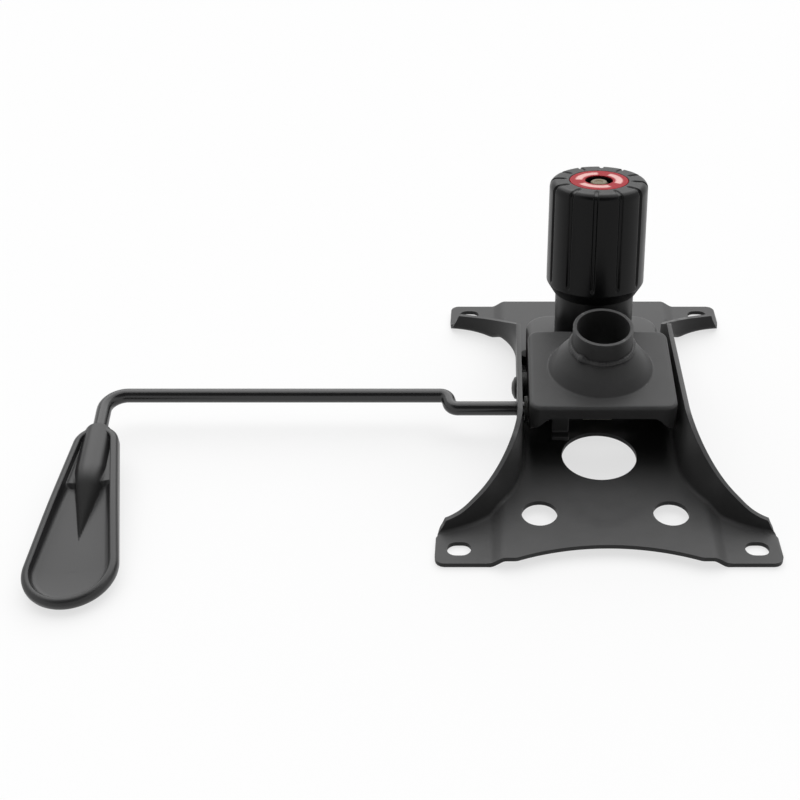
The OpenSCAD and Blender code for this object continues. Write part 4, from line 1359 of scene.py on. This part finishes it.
    def disc(self) -> Surface:
        """Disc: a thin ring with a rounded rim, its flat coordinates following turn and radius."""
        high, columns = self.knob_high, 120
        corners = [(self.recess_r, high - self.disc_t, 0.0), (self.recess_r, high, 0.25),
                   (self.disc_r, high, 0.3), (self.disc_r, high - self.disc_t, 0.0)]
        profile = refine(round_corners(corners), 1.0)
        upper = turned(BOLT_PLACE, profile, columns)
        radius = np.repeat(profile[:, 0], columns)
        upper.uv[..., 1] = (radius[upper.faces] - self.recess_r) / (self.disc_r - self.recess_r)
        return Surface.join(upper, turned(BOLT_PLACE, profile[[0, -1]], columns))

    def build(self, work: Workshop) -> None:
        """Make the sleeve, spring, bolt, knob and disc, and dress the hidden nodes.

        The coil rides on the housing; its last turn rides on the washer.

        Args:
            work: Maker of the pieces.
        """
        work.piece("spring_sleeve_tube", self.sleeve(), Body.HOUSING, Finishes.SLEEVE, ["spring_sleeve"])
        spring = work.piece(
            "tension_spring_coil", self.spring(), Body.HOUSING, Finishes.SPRING, ["tension_spring"])
        work.piece("tension_spring_end", self.last_turn(), Body.WASHER, Finishes.SPRING, ["tension_spring"])
        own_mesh(spring)
        work.piece("bolt_shank", self.bolt(), Body.BOLT, Finishes.BRASSY, ["tension_bolt"])
        work.piece("bolt_cross_head", self.cross_head(), Body.BOLT, Finishes.BRASSY, ["tension_bolt"])
        work.piece("knob_grip", self.knob(), Body.KNOB, Finishes.KNOB, ["knob"])
        work.piece("knob_print_disc", self.disc(), Body.KNOB, Finishes.DISC, ["knob_disc"])
        work.dress(knob_nut=Finishes.STEEL, thrust_washer=Finishes.STEEL, spring_seat=Finishes.STEEL)


@dataclass
class Lever:
    """Bent rod and spoon handle, drawn in the lever's own plane."""

    rod_r: float = 4.0
    rod_bevel: float = 0.5
    inner_end: float = 41.5
    jog_x: float = 78.0
    jog: float = 10.7
    jog_turn_deg: float = 75.0
    jog_r: float = 5.0
    reach: float = 276.0
    leg_r: float = 11.0
    leg_turn_deg: float = 6.5
    leg_bare: float = 16.5
    rod_in_handle: float = 34.0
    handle_l: float = 119.8
    bowl_r: float = 22.9
    neck_r: float = 12.0
    low: float = -6.0
    rim_z: float = 4.5
    rim_w: float = 4.0
    rim_edge_r: float = 0.9
    rim_fall: float = 2.6
    end_fall: float = 2.6
    fall_start: float = 45.0
    floor: float = -3.6
    inner_fillet: float = 3.4
    under_r: float = 4.8
    cup: float = 2.4
    cup_run: float = 10.0
    boss_half: float = 8.8
    boss_h: float = 5.9
    boss_end: float = 31.0
    boss_ease: float = 0.45
    boss_power: float = 2.6
    boss_foot: float = 1.0
    boss_blend: float = 0.4
    ridge_tip: float = 77.0
    ridge_thinnest: float = 0.01
    shelf_end: float = 40.3
    shelf_z: float = 0.9
    shelf_step: float = 0.9
    shelf_blend: float = 0.8
    # Where the painted shade on the ridge starts, how it ends at the ridge's sides, and where it stops.
    painted_shade_start: Pair = (0.02, 0.3)
    painted_shade_edge: Pair = (1.0, 1.15)
    painted_shade_end: float = 0.99

    @staticmethod
    def ahead(heading: float) -> np.ndarray:
        """Unit vector along the rod, away from its inner end, at a heading."""
        return -np.array([np.cos(heading), np.sin(heading)])

    def path(self) -> tuple[np.ndarray, np.ndarray, np.ndarray]:
        """Middle line of the rod in its plane: straight runs joined by arcs.

        Returns:
            Points, headings in radians, and the end of the last arc.
        """
        turn, leg_turn = np.radians(self.jog_turn_deg), np.radians(self.leg_turn_deg)
        slant = (self.jog - 2.0 * self.jog_r * (1.0 - np.cos(turn))) / np.sin(turn)
        jog_length = 2.0 * self.jog_r * np.sin(turn) + slant * np.cos(turn)
        far = self.reach - self.jog_x - jog_length - self.leg_r * np.cos(leg_turn)
        runs = [(self.jog_x + self.inner_end, -turn, self.jog_r), (slant, turn, self.jog_r),
                (far, QUARTER + leg_turn, self.leg_r), (self.leg_bare + self.rod_in_handle, 0.0, 0.0)]
        at = leg_start = np.array([self.inner_end, 0.0])
        heading = 0.0
        points, headings = [at[None]], [np.array([heading])]
        for length, bend, radius in runs:
            leg_start = at
            count = max(2, int(length / 3.0))
            points.append(at + self.ahead(heading) * steps_to(length, count)[:, None])
            headings.append(np.full(count, heading))
            at = points[-1][-1]
            if bend == 0.0:
                continue
            angle = heading + steps_to(bend, 14)
            swing = np.stack([np.sin(heading) - np.sin(angle), np.cos(angle) - np.cos(heading)], -1)
            points.append(at + np.sign(bend) * radius * swing)
            headings.append(angle)
            at = points[-1][-1]
            heading = heading + bend
        return np.concatenate(points), np.concatenate(headings), leg_start

    def rod(self) -> Surface:
        """Rod: a round profile carried along the path, with a bevelled inner end."""
        points, headings, _ = self.path()
        first = points[:1] + self.ahead(headings[0]) * np.array([[0.0], [0.0], [self.rod_bevel]])
        points = np.concatenate([first, points[1:], points[-1:]])
        headings = np.concatenate([headings[:1].repeat(3), headings[1:], headings[-1:]])
        radius = np.full(len(points), self.rod_r)
        radius[1] = self.rod_r - self.rod_bevel
        side = lifted(np.stack([-np.sin(headings), np.cos(headings)], -1), 0.0)
        return tube_along(LEVER_PLACE, lifted(points, 0.0), side, radius, 28)

    def handle_outline(self) -> tuple[np.ndarray, np.ndarray, np.ndarray]:
        """Outline of the handle: a circle that moves along the middle line and grows from neck to bowl.

        Returns:
            Place of the circle's centre, its radius, and the angle of the point on it.
        """
        far = self.handle_l - self.bowl_r
        lean = np.arcsin((self.bowl_r - self.neck_r) / (far - self.neck_r))
        neck_turn = np.linspace(QUARTER + lean, 3.0 * QUARTER - lean, 40)[:-1]
        bowl_turn = np.linspace(-QUARTER - lean, QUARTER + lean, 90)[:-1]
        side = np.linspace(0.0, 1.0, 91)[:-1]
        right, left = np.full(len(side), -QUARTER - lean), np.full(len(side), QUARTER + lean)
        turn = np.concatenate([neck_turn, right, bowl_turn, left])
        share = np.concatenate([0.0 * neck_turn, side, 0.0 * bowl_turn + 1.0, 1.0 - side])
        spine = self.neck_r + (far - self.neck_r) * share
        return spine, self.neck_r + (self.bowl_r - self.neck_r) * share, turn

    def handle(self) -> Surface:
        """Handle: rings from the underside's spine round the rim to the hollow's spine.

        A ring lies at one distance inside the outline. The rim is a quarter ellipse that falls outwards,
        and it gets lower towards the end of the bowl. The hollow has a fillet and a slow rise towards the
        rim, and on its floor stand the shelf, the boss and the ridge.

        Returns:
            The closed surface of the handle.
        """
        spine, reach, turn = self.handle_outline()
        under = np.linspace(1.0, 0.0, 10)[:, None]
        arc = steps_to(QUARTER, 7)[:, None]
        outer_turn = np.linspace(0.0, QUARTER, 9)[:, None]
        inner_turn = steps_to(QUARTER, 4)[:, None]
        inner = np.concatenate([np.linspace(0.0, 0.3, 16), np.linspace(0.3, 1.0, 25)[1:]])[:, None]
        crown = self.rim_w - self.rim_edge_r
        end_share = smooth_step(spine + reach * np.cos(turn), self.fall_start, self.handle_l)
        rim_z = self.rim_z - self.end_fall * end_share
        in_hollow = self.rim_w + (reach - self.rim_w) * inner
        into = np.clip(in_hollow - self.rim_w, 0.0, self.inner_fillet)
        fillet = self.inner_fillet - circle_height(self.inner_fillet, self.inner_fillet - into)
        cup = self.cup * np.exp(-np.maximum(in_hollow - self.rim_w, 0.0) / self.cup_run)
        level = np.zeros_like(spine)
        depth = np.concatenate([
            self.under_r + (reach - self.under_r) * under,
            self.under_r * (1.0 - np.sin(arc)) + level,
            crown * (1.0 - np.cos(outer_turn)) + level,
            crown + self.rim_edge_r * np.sin(inner_turn) + level,
            in_hollow])
        height = np.concatenate([
            self.low + 0.0 * under + level,
            self.low + self.under_r * (1.0 - np.cos(arc)) + level,
            rim_z - self.rim_fall * (1.0 - np.sin(outer_turn)),
            rim_z - self.rim_edge_r * (1.0 - np.cos(inner_turn)),
            self.floor + (fillet + cup) * (rim_z - self.floor) / (self.rim_z - self.floor)])
        along = spine + (reach - depth) * np.cos(turn)
        across = (reach - depth) * np.sin(turn)
        upper = np.arange(len(height))[:, None] > len(under) + len(arc)
        height = np.where(upper, self.hollow(along, across, height), height)
        _, headings, leg_start = self.path()
        ahead = self.ahead(headings[-1])
        beside = np.array([-ahead[1], ahead[0]])
        flat = leg_start + (along + self.leg_bare)[..., None] * ahead + across[..., None] * beside
        surface = Surface.grid(LEVER_PLACE.put(lifted(flat, height)), wrap_cols=True)
        # The first flat coordinate carries the mask of the painted shade on the ridge.
        surface.uv[..., 0] = (self.painted_shade_ridge(along, across) * upper).reshape(-1)[surface.faces]
        return surface

    def ridge(self, along: np.ndarray) -> tuple[np.ndarray, np.ndarray]:
        """Share of the way from the boss's end to the ridge's tip, and the half width there."""
        past = np.clip((along - self.boss_end) / (self.ridge_tip - self.boss_end), 0.0, 1.0)
        return past, np.maximum(self.boss_half * (1.0 - past), self.ridge_thinnest)

    def painted_shade_ridge(self, along: np.ndarray, across: np.ndarray) -> np.ndarray:
        """Mask of the painted shade, 1 on the ridge's face: it grows along the ridge and ends at its sides
        and its tip.
        """
        past, half = self.ridge(along)
        beside = smooth_step(np.abs(across) / half, *self.painted_shade_edge)
        return smooth_step(past, *self.painted_shade_start) * (1.0 - beside) * (past < self.painted_shade_end)

    def hollow(self, along: np.ndarray, across: np.ndarray, height: np.ndarray) -> np.ndarray:
        """Raise the hollow's floor to the shelf, the rod's boss and the ridge that runs out behind it.

        The boss is a flattened half round. Past its end its width shrinks to a point while its crest
        falls to the floor, slowly at first.

        Args:
            along: Distance from the rod's end of the handle.
            across: Distance from the handle's middle line.
            height: Height of the plain hollow.

        Returns:
            Height with the raised forms.
        """
        past_shelf = smooth_step(along, self.shelf_end, self.shelf_end + self.shelf_step)
        shelf = self.floor + (self.shelf_z - self.floor) * (1.0 - past_shelf)
        raised = soft_max(height, shelf, self.shelf_blend)
        past, half = self.ridge(along)
        eased = (1.0 + self.boss_ease) * past**2 / (past + self.boss_ease)
        crest = self.boss_h - (self.boss_h - self.floor) * eased
        dome = np.sqrt(np.maximum(1.0 - np.abs(across / half) ** self.boss_power, 0.0))
        foot = self.floor - self.boss_foot
        return soft_max(raised, foot + (crest - foot) * dome, self.boss_blend)

    def build(self, work: Workshop) -> None:
        """Make the rod and the handle, and dress the hidden nodes."""
        work.piece("lever_bent_rod", self.rod(), Body.LEVER, Finishes.ROD, ["lever_rod"])
        work.piece("lever_spoon_handle", self.handle(), Body.LEVER, Finishes.HANDLE, ["lever_handle"])
        work.dress(rod_clip=Finishes.STEEL, release_cam=Finishes.STEEL)


@dataclass
class Studio:
    """Pale floor, a broad light from above and beyond the object, white surroundings and the camera."""

    floor_size: float = 12.0
    floor_tone: float = 0.86
    floor_glow: float = 0.7
    floor_z: float = -0.0006
    bounce_tone: float = 0.25
    far_light: float = 0.8
    near_light: float = 0.06
    near_end: float = 0.0
    far_start: float = 0.6
    far_way: Point = (0.0, 0.8, 0.6)
    key_strength: float = 2.3
    key_spread_deg: float = 80.0
    key_from: Point = (0.05, 0.55, 0.84)
    ceiling_light: float = 0.1
    ceiling_start: float = 0.84
    ceiling_full: float = 0.985
    near_dimming: float = 0.5
    camera_place: Point = (-0.0534, -0.52262, 0.40031)
    camera_turn_deg: float = 53.54
    sensor_mm: float = 36.0
    lens_mm: float = 50.88
    shift_x: float = -0.12745

    def build(self) -> None:
        """Set up the camera, the floor, the surroundings and the light."""
        self.build_camera()
        self.build_floor()
        self.build_world()
        self.build_light()
        bpy.context.scene.view_settings.view_transform = "Standard"

    def build_light(self) -> None:
        """Broad distant light."""
        light = bpy.data.lights.new("soft_key", "SUN")
        light.energy = self.key_strength
        light.angle = np.radians(self.key_spread_deg)
        lamp = bpy.data.objects.new("soft_key", light)
        lamp.location = self.key_from
        lamp.rotation_euler = (-Vector(self.key_from)).to_track_quat("-Z", "Y").to_euler()
        bpy.context.scene.collection.objects.link(lamp)

    def build_camera(self) -> None:
        """Camera at the photograph's viewing angle, for a square picture."""
        data = bpy.data.cameras.new("view")
        data.sensor_width = self.sensor_mm
        data.sensor_fit = "HORIZONTAL"
        data.lens = self.lens_mm
        data.shift_x = self.shift_x
        camera = bpy.data.objects.new("view", data)
        camera.location = self.camera_place
        camera.rotation_euler = (np.radians(self.camera_turn_deg), 0.0, 0.0)
        bpy.context.scene.collection.objects.link(camera)
        bpy.context.scene.camera = camera

    @staticmethod
    def seen_rays(tree: Tree) -> Socket:
        """Mask, 1 for the rays that see the surroundings: camera, glossy and transmission rays."""
        rays = add_node(tree, "LightPath").outputs
        glossy = math_node(tree, "MAXIMUM", rays["Is Camera Ray"], rays["Is Glossy Ray"])
        return math_node(tree, "MAXIMUM", glossy, rays["Is Transmission Ray"])

    def build_floor(self) -> None:
        """Large pale floor that keeps the object's shadow and melts into the surroundings."""
        half = self.floor_size / 2.0
        mesh = bpy.data.meshes.new("floor")
        corners = [(x * half, y * half, self.floor_z) for x, y in ((-1, -1), (1, -1), (1, 1), (-1, 1))]
        mesh.from_pydata(corners, [], [(0, 1, 2, 3)])
        material = bpy.data.materials.new("pale_floor")
        material.use_nodes = True
        tree = material.node_tree
        tree.nodes.clear()
        seen = self.seen_rays(tree)
        tone = mix_node(tree, seen, self.bounce_tone, self.floor_tone)
        diffuse = add_node(tree, "BsdfDiffuse", {"Color": tone})
        glow = add_node(tree, "Emission", {"Strength": 1.0})
        share = math_node(tree, "MULTIPLY", seen, self.floor_glow)
        mix = add_node(tree, "MixShader", {0: share, 1: diffuse.outputs[0], 2: glow.outputs[0]})
        add_node(tree, "OutputMaterial", {"Surface": mix.outputs[0]})
        mesh.materials.append(material)
        floor = bpy.data.objects.new("floor", mesh)
        bpy.context.scene.collection.objects.link(floor)

    def reflected_light(self, tree: Tree, way: Socket) -> Socket:
        """Brightness that a gloss shows: white walls, and a dim ceiling that reaches down on the near side.

        The height of a direction, and a share of how far it points to -Y, decide between the two.

        Args:
            tree: Node tree of the surroundings.
            way: Socket with the direction.

        Returns:
            Socket with the brightness.
        """
        parts = add_node(tree, "SeparateXYZ", {0: way}).outputs
        nearness = math_node(tree, "MULTIPLY", parts["Y"], -self.near_dimming)
        height = math_node(tree, "ADD", parts["Z"], math_node(tree, "MAXIMUM", nearness, 0.0))
        span = (self.ceiling_start, self.ceiling_full)
        return range_node(tree, height, span, (1.0, self.ceiling_light), "SMOOTHSTEP")

    def light_on_object(self, tree: Tree, way: Socket) -> Socket:
        """Brightness that lights dull surfaces: high above and beyond the object, low on the near side."""
        beyond = add_node(tree, "VectorMath", {0: way, 1: self.far_way}, operation="DOT_PRODUCT")
        span = (self.near_end, self.far_start)
        ends = (self.near_light, self.far_light)
        return range_node(tree, beyond.outputs["Value"], span, ends, "SMOOTHSTEP")

    def build_world(self) -> None:
        """White background, the studio that a gloss shows, and a soft fill for the rest."""
        world = bpy.data.worlds.new("white_studio")
        bpy.context.scene.world = world
        world.use_nodes = True
        tree = world.node_tree
        way = add_node(tree, "TexCoord").outputs["Generated"]
        camera = add_node(tree, "LightPath").outputs["Is Camera Ray"]
        shown = math_node(tree, "MAXIMUM", camera, self.reflected_light(tree, way))
        strength = mix_node(tree, self.seen_rays(tree), self.light_on_object(tree, way), shown)
        feed(tree, tree.nodes["Background"], {"Color": (1.0, 1.0, 1.0, 1.0), "Strength": strength})


def main() -> None:
    """Build the studio and the mechanism's sub-assemblies in order."""
    logging.basicConfig(level=logging.INFO, format="%(name)s: %(message)s")
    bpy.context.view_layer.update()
    work = Workshop(FinishShop())
    Studio().build()
    for assembly in (SeatPlate(), Housing(), TensionUnit(), Lever()):
        assembly.build(work)
        LOG.info("%s built", type(assembly).__name__)


if __name__ == "__main__":
    main()
